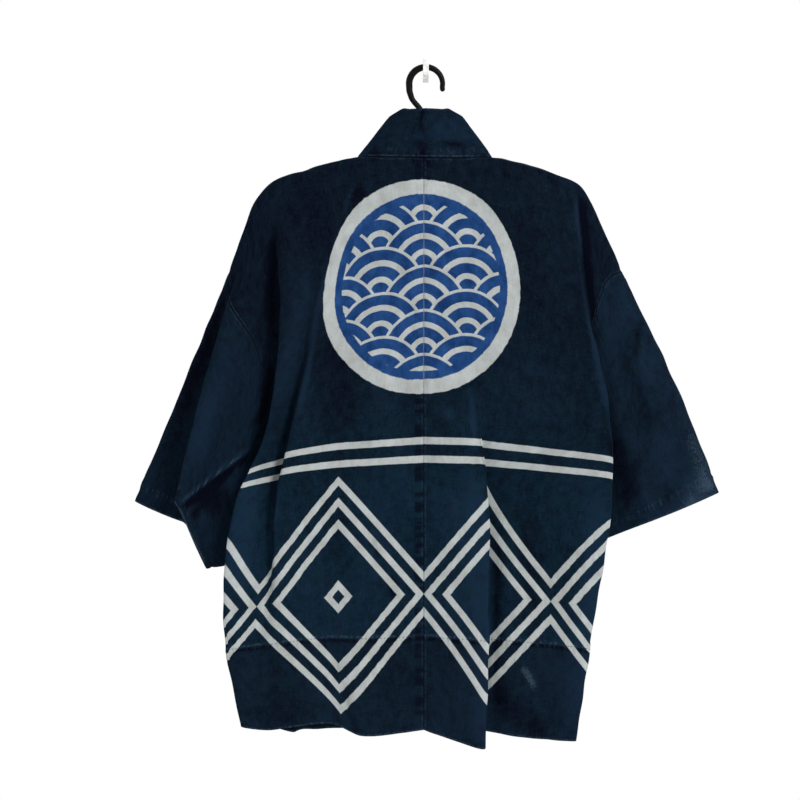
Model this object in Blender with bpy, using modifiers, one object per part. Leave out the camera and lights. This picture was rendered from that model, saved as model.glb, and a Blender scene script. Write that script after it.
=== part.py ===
"""A happi coat on a plain hanger that hangs from a wall hook.

The coat is sewn from straight lengths of cotton: two body lengths that run from the back hem over
the shoulder to the front hem, two tapered sleeves and one collar band folded double.
+Z is up, the wall is the plane y = 0, and the coat's back faces -Y.
Tables hold millimetres; the built objects are in metres.
"""

import math

import bmesh
import bpy
import numpy as np

MM = 0.001

# Cloth, as wall thicknesses
CLOTH = 1.6
TURNED_HEM = 2.4
COLLAR_CLOTH = 2.4
SEAM_GAP = 0.36
COLLAR_GAP = 1.5
SLEEVE_GAP = 1.2
STEEPEST_SEAM = 0.3  # the least cosine by which a seam's gap is widened
CREASE_ANGLE = 50  # degrees between faces, past which an edge is shaded sharp

# Hanger and wall hook
HANGER_Y = -45.0
HANGER_ROD = 10.0
HANGER_CLEARANCE = 0.6
HANGER_END_X = 190.0
HANGER_PEAK_Z = -129.0
HOOK_ROD = 9.0
HOOK_BEND = 23.5
HOOK_CENTRE_Z = -21.0
HOOK_TIP_ANGLE = -28  # degrees from +X, where the hook's bend starts
WALL_HOOK_WIDTH = 8.0
WALL_HOOK_EDGE = 0.6
WELD = 0.001

# The cloth rolls over the hanger: how far it comes down and out before it hangs free
ROLL_DOWN = 7.0
ROLL_OUT = 9.5

# Rows and columns of the cloth between two named lines of the tables
COLLAR_COLUMNS = 3
SLEEVE_ROWS = 5
NECK_LINE = 2  # the line of each back table that starts at the neck point
NECK_RUN = 100  # the neck point's place in COLLAR_EDGE

# Levels down the coat: (z at the centre back, z at the right side, z at the left side,
#                        rows to the next level); the tables of lines give the rest
LEVELS = {
    "shoulder": (None, None, None, 1),
    "half roll": (None, None, None, 1),
    "roll": (None, None, None, 4),
    "chest": (-285, -345, -395, 4),
    "armhole foot": (-445, -505, -540, 5),
    "waist": (-600, -625, -640, 5),
    "hip": (-765, -790, -800, 5),
    "hem": (None, None, None, 0),
}
TURN_UP_ROWS = 4  # rows of the last stretch that lie in the turned-up hem
BELOW_ROLL = ("chest", "armhole foot", "waist", "hip")
LEVEL_ROWS = [level[3] for level in LEVELS.values()][:-1]

# Lines that run down the back, from the centre seam to the side.
# line: (columns to the next line, share of the way across, (x, y, z) at the shoulder,
#        x at chest, armhole foot, waist, hip, y at the same four, (x, y, z) at the hem)
BACK_RIGHT = {
    "centre seam": (3, 0.00, (-3, -55, -126), (-3, -3, -3, -3), (-58, -60, -62, -66), (-3, -70, -927)),
    "pleat ridge": (3, 0.24, (52, -54, -126), (58, 68, 86, 87), (-60, -64, -77, -82), (81, -88, -951)),
    "pleat return": (3, 0.32, (93, -45, -125), (90, 86, 68, 64), (-62, -61, -55, -56), (62, -60, -930)),
    "panel": (3, 0.58, (155, -45, -139), (156, 160, 162, 152), (-64, -67, -67, -69), (145, -74, -938)),
    "side ridge": (2, 0.80, (205, -45, -158), (221, 254, 256, 231), (-79, -90, -93, -87), (207, -80, -941)),
    "under ridge": (2, 0.86, (219, -45, -167), (220, 250, 252, 228), (-67, -77, -80, -74), (205, -68, -940)),
    "side return": (3, 0.93, (237, -44, -199), (200, 194, 198, 202), (-56, -58, -60, -58), (196, -58, -937)),
    "side seam": (0, 1.00, (276, -42, -286), (0, 205, 190, 202), (0, -42, -46, -48), (200, -50, -935)),
}
BACK_LEFT = {
    "centre seam": (2, 0.00, (-3, -55, -126), (-3, -3, -3, -3), (-58, -60, -62, -66), (-3, -70, -927)),
    "soft fold": (3, 0.28, (-56, -54, -125), (-66, -74, -82, -88), (-60, -61, -62, -65), (-92, -78, -934)),
    "neck point": (3, 0.38, (-95, -45, -124.6), (-112, -130, -136, -142), (-61, -64, -64, -62), (-130, -68, -919)),
    "pleat ridge": (2, 0.56, (-140, -45, -134), (-141, -178, -209, -206), (-66, -79, -86, -76), (-190, -72, -923)),
    "pleat return": (3, 0.64, (-172, -45, -144), (-163, -186, -204, -226), (-60, -61, -64, -70), (-222, -72, -927)),
    "side ridge": (2, 0.80, (-208, -45, -155), (-203, -222, -269, -280), (-78, -89, -89, -85), (-256, -80, -922)),
    "under ridge": (2, 0.85, (-223, -45, -165), (-203, -219, -266, -277), (-66, -77, -77, -73), (-255, -70, -921)),
    "side return": (2, 0.90, (-240, -45, -187), (-191, -201, -218, -244), (-54, -57, -60, -60), (-240, -60, -918)),
    "arm ridge": (2, 0.95, (-258, -44, -232), (-218, -212, -214, -242), (-60, -50, -50, -50), (-236, -54, -918)),
    "side seam": (0, 1.00, (-277, -40, -286), (0, -226, -212, -242), (0, -43, -42, -44), (-236, -48, -918)),
}

# Lines that run down a front, from the collar seam to the side, for the right; the left is mirrored.
# line: (x at chest, armhole foot, waist, hip, hem, y at the same five, z at the hem)
FRONT = {
    "collar seam": (84, 81, 80, 79, 78, -15, -20, -19, -18, -18, -930),
    "front panel": (148, 138, 134, 134, 134, -11, -14, -14, -14, -12, -932),
    "side fold": (196, 170, 160, 166, 174, -13, -22, -24, -22, -20, -932),
    "side": (212, 190, 176, 190, 188, -23, -34, -36, -36, -38, -934),
}

# Lines along a sleeve, in order round it from the top fold over the back.
# line: ((x, y, z) at the armhole, halfway, at the cuff)
SLEEVE_RIGHT = {
    "top fold": ((276, -42, -286), (350, -40, -440), (413, -38, -596)),
    "back upper": ((254, -57, -299), (318, -64, -455), (372, -60, -613)),
    "back lower": ((211, -56, -478), (252, -57, -556), (264, -54, -656)),
    "underarm": ((205, -42, -505), (232, -42, -590), (236, -40, -668)),
    "front lower": ((211, -29, -478), (252, -28, -556), (264, -26, -658)),
    "front upper": ((252, -28, -305), (316, -16, -455), (372, -18, -613)),
}
SLEEVE_LEFT = {
    "top fold": ((-277, -40, -286), (-343, -34, -447), (-410, -32, -609)),
    "tuck": ((-272, -52, -311), (-302, -46, -450), (-330, -46, -640)),
    "arm ridge": ((-276, -68, -329), (-310, -76, -443), (-350, -80, -609)),
    "back": ((-236, -59, -398), (-288, -73, -500), (-346, -80, -616)),
    "crease": ((-232, -58, -512), (-300, -73, -584), (-341, -76, -626)),
    "underarm": ((-226, -43, -540), (-266, -46, -690), (-308, -50, -703)),
    "front lower": ((-230, -30, -506), (-276, -28, -634), (-318, -32, -664)),
    "front upper": ((-260, -26, -336), (-325, -16, -470), (-374, -18, -618)),
}
# Columns of a sleeve between its lines, from the top fold round the back to the underarm, and home
SLEEVE_COLUMNS = {"right": (3, 3, 4, 4, 3, 3), "left": (2, 2, 2, 2, 2, 4, 3, 3)}

# The collar's free edge: (run along the neck seam from the centre back, (x, y, z)), right side
COLLAR_EDGE = [
    (0, (0, -52, -57)),
    (40, (22, -52, -58)),
    (80, (38, -51, -60)),
    (100, (52, -44, -71)),
    (114, (38, -35, -92)),
    (150, (19, -28, -150)),
    (270, (15, -24, -275)),
    (440, (13, -21, -440)),
    (900, (11, -19, -932)),
]

# The hanger's hook below its bend, down to the arms: (x, z)
HOOK_SHANK = [(-23.5, -30), (-19, -43), (-8, -57), (-2, -72), (0, -92), (0, -124)]
# The wall hook from the side: (y, z)
WALL_HOOK_SIDE = [
    (0, -14), (-52, -12), (-55, -9), (-55, 13), (-53, 15), (-51, 13), (-51, -3),
    (-4, -3), (-4, 13), (-3, 15), (0, 15),
]


def hermite(points, spans, counts, crowd=False):
    """A smooth curve through points along axis 0, with counts[i] steps from point i to the next.

    spans are the knot distances; slopes are those of a Catmull-Rom curve on uneven knots.
    With crowd, the steps are shorter near each point, where a fold turns.
    """
    steps = np.diff(points, axis=0) / spans
    slopes = np.empty_like(points)
    slopes[0], slopes[-1] = steps[0], steps[-1]
    both = spans[:-1] + spans[1:]
    slopes[1:-1] = steps[:-1] - (points[2:] - points[:-2]) / both + steps[1:]
    pieces = []
    for i, count in enumerate(counts):
        t = np.arange(count) / count
        if crowd:
            t = (1 - np.cos(math.pi * t)) / 2
        t = t.reshape((-1,) + (1,) * (points.ndim - 1))
        pieces.append(
            (2 * t**3 - 3 * t**2 + 1) * points[i]
            + (t**3 - 2 * t**2 + t) * slopes[i] * spans[i]
            + (3 * t**2 - 2 * t**3) * points[i + 1]
            + (t**3 - t**2) * slopes[i + 1] * spans[i]
        )
    pieces.append(points[-1:])
    return np.concatenate(pieces)


def smooth(points, counts, crowd=False):
    """hermite() with knots spaced by the square root of the distance between points."""
    points = np.asarray(points, float)
    spans = np.sqrt(np.linalg.norm(np.diff(points, axis=0), axis=-1, keepdims=True))
    return hermite(points, np.maximum(spans, 0.5), counts, crowd)


def sleeve_grid(table, counts):
    """Rows from the armhole to the cuff; columns from the top fold round the back, and home again."""
    lines = np.array([list(row) for row in table.values()], float)
    along = smooth(lines.transpose(1, 0, 2), (SLEEVE_ROWS, SLEEVE_ROWS))
    rows = []
    for row in along:
        # The ring is closed: two lines are repeated past each end, and their spans cut off again.
        ring = np.concatenate([row[-2:], row, row[:3]])
        extra = list(counts[-2:]) + list(counts) + list(counts[:2])
        start = sum(counts[-2:])
        rows.append(smooth(ring, extra, crowd=True)[start : start + sum(counts) + 1])
    return np.array(rows)


def roll_over(shoulders, face):
    """The two points under each shoulder point where the cloth rounds over the hanger.

    They lie on a quarter ellipse, ROLL_OUT from the fold and ROLL_DOWN below it. Before the neck
    point the edge is a seam and not a fold, so the cloth runs straight down.
    """
    shoulders = np.array(shoulders, float)
    points = []
    for i, point in enumerate(shoulders):
        if i < NECK_LINE:
            points.append([point + (0, -0.5, -ROLL_DOWN / 2), point + (0, -1, -ROLL_DOWN)])
            continue
        run = shoulders[min(i + 1, len(shoulders) - 1)] - shoulders[max(i - 1, NECK_LINE)]
        run /= np.linalg.norm(run[[0, 2]])
        down = np.array([run[2], 0, -run[0]]) * np.sign(run[0]) * ROLL_DOWN
        out = np.array([0, face * ROLL_OUT, 0])
        points.append([
            point + out * math.sin(turn) + down * (1 - math.cos(turn)) for turn in (math.pi / 4, math.pi / 2)
        ])
    return points


def level_points(shoulder, roll, xs, ys, share, side_z, hem):
    """One line's points at all levels, from the shoulder to the hem.

    The levels sink towards the side with the square of the line's share of the way across.
    """
    zs = [LEVELS[name][0] + (LEVELS[name][side_z] - LEVELS[name][0]) * share**2 for name in BELOW_ROLL]
    return np.concatenate([[shoulder], roll, np.stack([xs, ys, zs], 1), [hem]]).astype(float)


def front_line(place, side):
    """The front's line at a share of the way from its first line to its last, as xs, ys and hem."""
    rows = np.array(list(FRONT.values()), float)
    numbers = [np.interp(place, np.linspace(0, 1, len(rows)), column) for column in rows.T]
    xs, ys = side * np.array(numbers[:5]), np.array(numbers[5:10])
    return xs[:4], ys[:4], (xs[4], ys[4], numbers[10])


def surface(lines, columns, armhole):
    """Smooth down each line, fixed to the armhole at the side, then smooth across."""
    down = np.stack([smooth(line, LEVEL_ROWS) for line in lines])
    down[-1, : len(armhole)] = armhole
    return smooth(down, columns, crowd=True).transpose(1, 0, 2)


def body_grid(table, sleeve, side):
    """The body length as rows from the front hem over the shoulder to the back hem.

    Returns the grid, the mask of its cells that are cloth, and the column of the neck point.
    """
    lines = list(table.values())
    columns = [line[0] for line in lines][:-1]
    side_z = 1 if side > 0 else 2
    rows_to_foot = sum(LEVEL_ROWS[:4])
    upper_levels = np.cumsum([0] + LEVEL_ROWS)[:4]
    armhole_back = sleeve[0][: rows_to_foot + 1]
    armhole_front = sleeve[0][rows_to_foot:][::-1]
    shoulders = [line[2] for line in lines]

    back_lines = []
    for (_, share, shoulder, xs, ys, hem), roll in zip(lines, roll_over(shoulders, -1)):
        back_lines.append(level_points(shoulder, roll, xs, ys, share, side_z, hem))
    side_seam = back_lines[-1]
    side_seam[:4] = armhole_back[upper_levels]
    back = surface(back_lines, columns, armhole_back)

    front_lines = []
    rolls = roll_over(shoulders, 1)
    for i in range(NECK_LINE, len(lines) - 1):
        xs, ys, hem = front_line((i - NECK_LINE) / (len(lines) - 2 - NECK_LINE), side)
        front_lines.append(level_points(shoulders[i], rolls[i], xs, ys, lines[i][1], side_z, hem))
    front_seam = side_seam.copy()
    front_seam[:4] = armhole_front[upper_levels]
    front_lines.append(front_seam)
    front = surface(front_lines, columns[NECK_LINE:], armhole_front)
    # Below the armhole both edges are one seam.
    front[rows_to_foot:, -1] = back[rows_to_foot:, -1]

    first = sum(columns[:NECK_LINE])
    blank = np.repeat(front[1:, :1], first, axis=1)
    upper = np.concatenate([blank, front[1:]], axis=1)[::-1]
    grid = np.concatenate([upper, back])
    cells = np.ones((len(grid) - 1, grid.shape[1] - 1), bool)
    cells[: len(upper), :first] = False
    return grid, cells, first


def collar_grid(body_right, first_right, body_left, first_left):
    """Rows along the band from the left front hem round the neck to the right front hem."""
    halves = []
    for grid, first, side in ((body_right, first_right, 1), (body_left, first_left, -1)):
        top = len(grid) // 2
        seam = np.concatenate([grid[top, : first + 1], grid[:top, first][::-1]])
        run = np.concatenate([[0], np.cumsum(np.linalg.norm(np.diff(seam, axis=0), axis=1))])
        knots = np.array([row[0] for row in COLLAR_EDGE], float)
        knots = np.where(knots <= NECK_RUN, knots * run[first] / NECK_RUN, knots * run[-1] / knots[-1])
        edge = np.array([(knot, side * x, y, z) for knot, (_, (x, y, z)) in zip(knots, COLLAR_EDGE)])
        fine = hermite(edge, np.diff(knots)[:, None], [16] * (len(edge) - 1))
        free = np.stack([np.interp(run, fine[:, 0], fine[:, k]) for k in (1, 2, 3)], 1)
        share = np.linspace(0, 1, COLLAR_COLUMNS + 1)[None, :, None]
        halves.append(seam[:, None] + (free - seam)[:, None] * share)
    right, left = halves
    return np.concatenate([left[::-1], right[1:]])


def faces_of(shape, cells, closed, flip):
    """Quads of a grid as indices, for the cells that are cloth; closed joins the last column."""
    rows, columns = shape
    index = np.arange(rows * columns).reshape(rows, columns)
    if closed:
        index = np.concatenate([index, index[:, :1]], axis=1)
    quads = np.stack([index[:-1, :-1], index[1:, :-1], index[1:, 1:], index[:-1, 1:]], -1)
    quads = quads[cells] if cells is not None else quads.reshape(-1, 4)
    return quads[:, ::-1] if flip else quads


def unit(vectors):
    return vectors / np.maximum(np.linalg.norm(vectors, axis=1, keepdims=True), 1e-9)


def shared_normals(sheets):
    """Unit normals at every point of every sheet, averaged where two sheets meet at a seam.

    Each sheet also keeps how far its own normal leans from the shared one, as a cosine.
    """
    points = np.concatenate([sheet["points"] for sheet in sheets])
    _, same = np.unique(np.round(points, 3), axis=0, return_inverse=True)
    same = same.reshape(-1)
    total = np.zeros((same.max() + 1, 3))
    start = 0
    for sheet in sheets:
        corners = sheet["points"][sheet["quads"]]
        normal = np.cross(corners[:, 2] - corners[:, 0], corners[:, 3] - corners[:, 1])
        own = np.zeros_like(sheet["points"])
        for k in range(4):
            np.add.at(own, sheet["quads"][:, k], normal)
        sheet["own"] = unit(own)
        sheet["place"] = same[start : start + len(own)]
        np.add.at(total, sheet["place"], own)
        start += len(own)
    total = unit(total)
    for sheet in sheets:
        sheet["normals"] = total[sheet["place"]]
        sheet["lean"] = (sheet["normals"] * sheet["own"]).sum(1)


def rim_of(quads):
    """The directed edges that only one quad has."""
    edges = {}
    for quad in quads.tolist():
        for a, b in zip(quad, quad[1:] + quad[:1]):
            edges[(a, b)] = True
    return [(a, b) for a, b in edges if (b, a) not in edges]


def body_thickness(grid):
    """Single cloth, and the double layer of the turned-up hem at both ends."""
    row = np.arange(len(grid))
    turned = (row <= TURN_UP_ROWS) | (row >= len(grid) - 1 - TURN_UP_ROWS)
    return np.repeat(np.where(turned, TURNED_HEM, CLOTH), grid.shape[1])


def collar_thickness(grid):
    """Folded double, and pressed thin along the neck seam."""
    across = np.full(grid.shape[1], COLLAR_CLOTH)
    across[0] = CLOTH
    return np.tile(across, len(grid))


def cloth_wall(name, sheet, thickness, material, gap=SEAM_GAP):
    """A closed wall: the sheet moved out and in by half its thickness, joined round its rims.

    Rim points are first drawn back from the seam by half the gap, and further where the two
    pieces meet at an angle, so that their walls stay clear of each other.
    """
    points, normals, quads = sheet["points"], sheet["normals"], sheet["quads"]
    rim = rim_of(quads)
    centre = points[quads].mean(axis=1)
    pull = np.zeros_like(points)
    edge = np.zeros(len(points), bool)
    edge[[a for a, _ in rim]] = True
    for k in range(4):
        np.add.at(pull, quads[:, k], centre - points[quads[:, k]])
    pull -= normals * (pull * normals).sum(1, keepdims=True)
    draw = np.where(edge, gap / 2 / np.clip(sheet["lean"], STEEPEST_SEAM, 1), 0)
    points = points + unit(pull) * draw[:, None]
    half = (np.broadcast_to(thickness, len(points)) / 2)[:, None]
    both = np.concatenate([points + normals * half, points - normals * half])
    offset = len(points)
    faces = quads.tolist() + (quads[:, ::-1] + offset).tolist()
    faces += [[b, a, a + offset, b + offset] for a, b in rim]
    used, index = np.unique(np.concatenate([np.ravel(face) for face in faces]), return_inverse=True)
    faces = index.reshape(-1, 4).tolist()
    mesh = bpy.data.meshes.new(name)
    mesh.from_pydata((both[used] * MM).tolist(), [], faces)
    mesh.materials.append(material)
    mesh.shade_smooth()
    mesh.set_sharp_from_angle(angle=math.radians(CREASE_ANGLE))
    return add_part(name, mesh)


def add_part(name, data):
    part = bpy.data.objects.new(name, data)
    coat.objects.link(part)
    return part


def finish(name, colour, roughness):
    material = bpy.data.materials.new(name)
    material.use_nodes = True
    shader = material.node_tree.nodes["Principled BSDF"]
    shader.inputs["Base Color"].default_value = (*colour, 1)
    shader.inputs["Roughness"].default_value = roughness
    shader.inputs["Metallic"].default_value = 0
    return material


def rod(name, points, diameter, material):
    """A round rod along points, as a mesh with closed ends."""
    curve = bpy.data.curves.new(name, "CURVE")
    curve.dimensions = "3D"
    curve.bevel_depth = diameter / 2 * MM
    curve.bevel_resolution = 2
    curve.use_fill_caps = True
    spline = curve.splines.new("POLY")
    spline.points.add(len(points) - 1)
    for place, point in zip(spline.points, points):
        place.co = (*(np.asarray(point) * MM), 1)
    drawn = add_part(name + " curve", curve)
    mesh = bpy.data.meshes.new_from_object(drawn.evaluated_get(bpy.context.evaluated_depsgraph_get()))
    bpy.data.objects.remove(drawn)
    welded = bmesh.new()
    welded.from_mesh(mesh)
    bmesh.ops.remove_doubles(welded, verts=welded.verts, dist=WELD * MM)
    welded.to_mesh(mesh)
    welded.free()
    mesh.materials.clear()
    mesh.materials.append(material)
    return add_part(name, mesh)


def make_hanger(body_right, first_right, body_left, first_left, material):
    """Two arms under the shoulder folds and a hook, joined into one moulding."""
    arms = []
    for grid, first in ((body_left, first_left), (body_right, first_right)):
        fold = grid[len(grid) // 2, first:]
        kept = fold[np.abs(fold[:, 0]) < HANGER_END_X]
        arms.append(kept - (0, 0, HANGER_ROD / 2 + CLOTH / 2 + HANGER_CLEARANCE))
    peak = [(0, HANGER_Y, HANGER_PEAK_Z)]
    arm_points = np.concatenate([arms[0][::-1], peak, arms[1]])
    arm_points[:, 1] = HANGER_Y
    hanger = rod("hanger", arm_points, HANGER_ROD, material)
    turn = np.radians(np.linspace(HOOK_TIP_ANGLE, 180, 20))
    bend = np.stack([HOOK_BEND * np.cos(turn), HOOK_CENTRE_Z + HOOK_BEND * np.sin(turn)], 1)
    shank = smooth(np.array(HOOK_SHANK, float), [3] * (len(HOOK_SHANK) - 1))
    path = np.concatenate([bend, shank])
    path = np.stack([path[:, 0], np.full(len(path), HANGER_Y), path[:, 1]], 1)
    hook = rod("hanger hook", path, HOOK_ROD, material)
    coat.objects.unlink(hook)
    cutters.objects.link(hook)
    hook.hide_render = True
    hook.display_type = "WIRE"
    join = hanger.modifiers.new("join hook", "BOOLEAN")
    join.operation = "UNION"
    join.object = hook
    hanger.data.shade_smooth()
    return hanger


def make_wall_hook(material):
    """A strip hook cut from its side view; its back face lies on the wall."""
    curve = bpy.data.curves.new("wall_hook", "CURVE")
    curve.dimensions = "2D"
    curve.fill_mode = "BOTH"
    curve.extrude = WALL_HOOK_WIDTH / 2 * MM
    spline = curve.splines.new("POLY")
    spline.use_cyclic_u = True
    spline.points.add(len(WALL_HOOK_SIDE) - 1)
    for place, (y, z) in zip(spline.points, WALL_HOOK_SIDE):
        place.co = (y * MM, z * MM, 0, 1)
    curve.materials.append(material)
    hook = add_part("wall_hook", curve)
    hook.rotation_euler = (math.pi / 2, 0, math.pi / 2)
    weld = hook.modifiers.new("weld caps", "WELD")
    weld.merge_threshold = WELD * MM
    edges = hook.modifiers.new("soft edges", "BEVEL")
    edges.width = WALL_HOOK_EDGE * MM
    edges.segments = 2
    edges.limit_method = "ANGLE"
    return hook


for old in list(bpy.data.objects):
    bpy.data.objects.remove(old)
coat = bpy.data.collections.new("happi coat")
cutters = bpy.data.collections.new("cutters")
bpy.context.scene.collection.children.link(coat)
bpy.context.scene.collection.children.link(cutters)

indigo = finish("indigo cotton", (0.012, 0.028, 0.055), 0.85)
collar_indigo = finish("indigo cotton collar", (0.012, 0.026, 0.048), 0.85)
black_plastic = finish("black plastic", (0.012, 0.012, 0.013), 0.4)
white_plastic = finish("white plastic", (0.8, 0.8, 0.78), 0.4)

sleeve_right = sleeve_grid(SLEEVE_RIGHT, SLEEVE_COLUMNS["right"])
sleeve_left = sleeve_grid(SLEEVE_LEFT, SLEEVE_COLUMNS["left"])
body_right, cells_right, neck_right = body_grid(BACK_RIGHT, sleeve_right, 1)
body_left, cells_left, neck_left = body_grid(BACK_LEFT, sleeve_left, -1)
collar = collar_grid(body_right, neck_right, body_left, neck_left)

sheets = {
    "body_right": (body_right, cells_right, False, False),
    "body_left": (body_left, cells_left, False, True),
    "sleeve_right": (sleeve_right[:, :-1], None, True, True),
    "sleeve_left": (sleeve_left[:, :-1], None, True, False),
    "collar": (collar, None, False, False),
}
for name, (grid, cells, closed, flip) in sheets.items():
    quads = faces_of(grid.shape[:2], cells, closed, flip)
    sheets[name] = {"points": grid.reshape(-1, 3), "quads": quads}
shared_normals(list(sheets.values()))

cloth_wall("body_right", sheets["body_right"], body_thickness(body_right), indigo)
cloth_wall("body_left", sheets["body_left"], body_thickness(body_left), indigo)
cloth_wall("sleeve_right", sheets["sleeve_right"], CLOTH, indigo, SLEEVE_GAP)
cloth_wall("sleeve_left", sheets["sleeve_left"], CLOTH, indigo, SLEEVE_GAP)
cloth_wall("collar", sheets["collar"], collar_thickness(collar), collar_indigo, COLLAR_GAP)
make_hanger(body_right, neck_right, body_left, neck_left, black_plastic)
make_wall_hook(white_plastic)
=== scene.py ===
import math

import bpy
import numpy as np
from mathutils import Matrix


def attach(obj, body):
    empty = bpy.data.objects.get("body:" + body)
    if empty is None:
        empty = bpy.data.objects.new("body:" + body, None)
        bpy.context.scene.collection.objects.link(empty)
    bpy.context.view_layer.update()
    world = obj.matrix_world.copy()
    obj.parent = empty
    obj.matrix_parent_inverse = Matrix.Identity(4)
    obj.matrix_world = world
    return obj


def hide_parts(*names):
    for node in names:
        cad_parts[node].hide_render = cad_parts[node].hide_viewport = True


# A happi coat of indigo cotton on a plastic hanger, hung from a small wall hook.
# The cloth is worked out again here from the pattern's own lines, finer than the solids, and gets
# its creases, seams, prints and stitches. Sizes are millimetres until a mesh is made.
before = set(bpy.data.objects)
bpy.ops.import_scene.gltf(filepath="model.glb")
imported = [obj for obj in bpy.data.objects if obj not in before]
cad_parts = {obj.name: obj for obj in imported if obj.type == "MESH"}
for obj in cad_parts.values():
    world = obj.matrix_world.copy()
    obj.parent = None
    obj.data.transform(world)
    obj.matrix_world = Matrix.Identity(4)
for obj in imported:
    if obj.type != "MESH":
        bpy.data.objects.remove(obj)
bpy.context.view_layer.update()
mm = 0.001
wholeCircle = 2 * math.pi

# The cut: lines down each piece, in the order they meet across it.
levels = {  # z at the centre back, at the right side, at the left side, steps to the next level
    "shoulder": (None, None, None, 1),
    "half roll": (None, None, None, 1),
    "roll": (None, None, None, 4),
    "chest": (-285, -345, -395, 4),
    "armhole foot": (-445, -505, -540, 5),
    "waist": (-600, -625, -640, 5),
    "hip": (-765, -790, -800, 5),
}
drapedLevels = ("chest", "armhole foot", "waist", "hip")

# line: steps to the next line, share of the way across, point at the shoulder,
#       x at the four draped levels, y at the same four, point at the hem; x grows leftwards in backLeft
backRight = {
    "centre seam": (3, 0.00, (-3, -55, -126), (-3, -3, -3, -3), (-58, -60, -62, -66), (-3, -70, -927)),
    "pleat ridge": (3, 0.24, (52, -54, -126), (58, 68, 86, 87), (-60, -64, -77, -82), (81, -88, -951)),
    "pleat return": (3, 0.32, (93, -45, -125), (90, 86, 68, 64), (-62, -61, -55, -56), (62, -60, -930)),
    "panel": (3, 0.58, (155, -45, -139), (156, 160, 162, 152), (-64, -67, -67, -69), (145, -74, -938)),
    "side ridge": (2, 0.80, (205, -45, -158), (221, 254, 256, 231), (-79, -90, -93, -87), (207, -80, -941)),
    "under ridge": (2, 0.86, (219, -45, -167), (220, 250, 252, 228), (-67, -77, -80, -74), (205, -68, -940)),
    "side return": (3, 0.93, (237, -44, -199), (200, 194, 198, 202), (-56, -58, -60, -58), (196, -58, -937)),
    "side seam": (0, 1.00, (276, -42, -286), (0, 205, 190, 202), (0, -42, -46, -48), (200, -50, -935)),
}
backLeft = {
    "centre seam": (2, 0.00, (3, -55, -126), (3, 3, 3, 3), (-58, -60, -62, -66), (3, -70, -927)),
    "soft fold": (3, 0.28, (56, -54, -125), (66, 74, 82, 88), (-60, -61, -62, -65), (92, -78, -934)),
    "neck point": (3, 0.38, (95, -45, -124.6), (112, 130, 136, 142), (-61, -64, -64, -62), (130, -68, -919)),
    "pleat ridge": (2, 0.56, (140, -45, -134), (141, 178, 209, 206), (-66, -79, -86, -76), (190, -72, -923)),
    "pleat return": (3, 0.64, (172, -45, -144), (163, 186, 206, 226), (-60, -61, -65, -70), (222, -72, -927)),
    "side ridge": (2, 0.80, (208, -45, -155), (203, 222, 269, 280), (-78, -89, -89, -85), (256, -80, -922)),
    "under ridge": (2, 0.85, (223, -45, -165), (203, 219, 266, 277), (-66, -77, -77, -73), (255, -70, -921)),
    "side return": (2, 0.90, (240, -45, -187), (191, 201, 218, 244), (-52, -52, -51, -53), (240, -54, -918)),
    "arm ridge": (2, 0.95, (258, -44, -232), (218, 212, 214, 242), (-60, -48, -46, -48), (236, -51, -918)),
    "side seam": (0, 1.00, (277, -40, -286), (0, 226, 212, 242), (0, -43, -42, -44), (236, -48, -918)),
}
# line: x at the draped levels and the hem, y at the same five, z at the hem; the left is mirrored
frontLines = {
    "collar seam": (84, 81, 80, 79, 78, -15, -20, -19, -18, -18, -930),
    "front panel": (148, 138, 134, 134, 134, -11, -14, -14, -14, -12, -932),
    "side fold": (196, 170, 160, 166, 174, -13, -22, -24, -22, -20, -932),
    "side": (212, 190, 176, 190, 188, -23, -34, -36, -36, -38, -934),
}
# line: points at the armhole, halfway and at the cuff, round the sleeve from its top fold over the back
sleeveRight = {
    "top fold": ((276, -42, -286), (350, -40, -440), (413, -38, -596)),
    "back upper": ((254, -57, -299), (318, -64, -455), (372, -60, -613)),
    "back lower": ((211, -56, -478), (252, -57, -556), (264, -54, -656)),
    "underarm": ((205, -42, -505), (232, -42, -590), (236, -40, -668)),
    "front lower": ((211, -29, -478), (252, -28, -556), (264, -26, -658)),
    "front upper": ((252, -28, -305), (316, -16, -455), (372, -18, -613)),
}
sleeveLeft = {
    "top fold": ((-277, -40, -286), (-343, -34, -447), (-410, -32, -609)),
    "tuck": ((-272, -52, -311), (-302, -46, -450), (-330, -46, -640)),
    "arm ridge": ((-276, -68, -329), (-310, -76, -443), (-350, -80, -609)),
    "back": ((-236, -59, -398), (-288, -73, -500), (-346, -80, -616)),
    "crease": ((-232, -58, -512), (-300, -73, -584), (-341, -76, -626)),
    "underarm": ((-226, -43, -540), (-266, -46, -690), (-308, -50, -703)),
    "front lower": ((-230, -30, -506), (-276, -28, -634), (-318, -32, -664)),
    "front upper": ((-260, -26, -336), (-325, -16, -470), (-374, -18, -618)),
}
# the collar's free edge: run along the neck seam from the centre back, point
collarEdge = (
    (0, (0, -52, -57)), (40, (22, -52, -58)), (80, (38, -51, -60)), (100, (52, -44, -71)),
    (114, (38, -35, -92)), (150, (19, -28, -150)), (270, (15, -24, -275)), (440, (13, -21, -440)),
    (900, (11, -19, -932)),
)
cut = {
    "rollDown": 7.0, "rollOut": 9.5,  # how the cloth rounds over the hanger
    "neckLine": 2, "neckRun": 100,  # the neck point: its line in the backs, its run in collarEdge
    "neckHalf": 93.0,  # flat distance from the centre seam to the neck point
    "sleeveSteps": 5, "collarSteps": 3, "edgeSteps": 32,
    "sleeveColumns": {"right": (3, 3, 4, 4, 3, 3), "left": (2, 2, 2, 2, 2, 4, 3, 3)},
    "fine": 6,  # steps here for each of the pattern's own
}
levelSteps = [level[3] * cut["fine"] for level in levels.values()]


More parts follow.
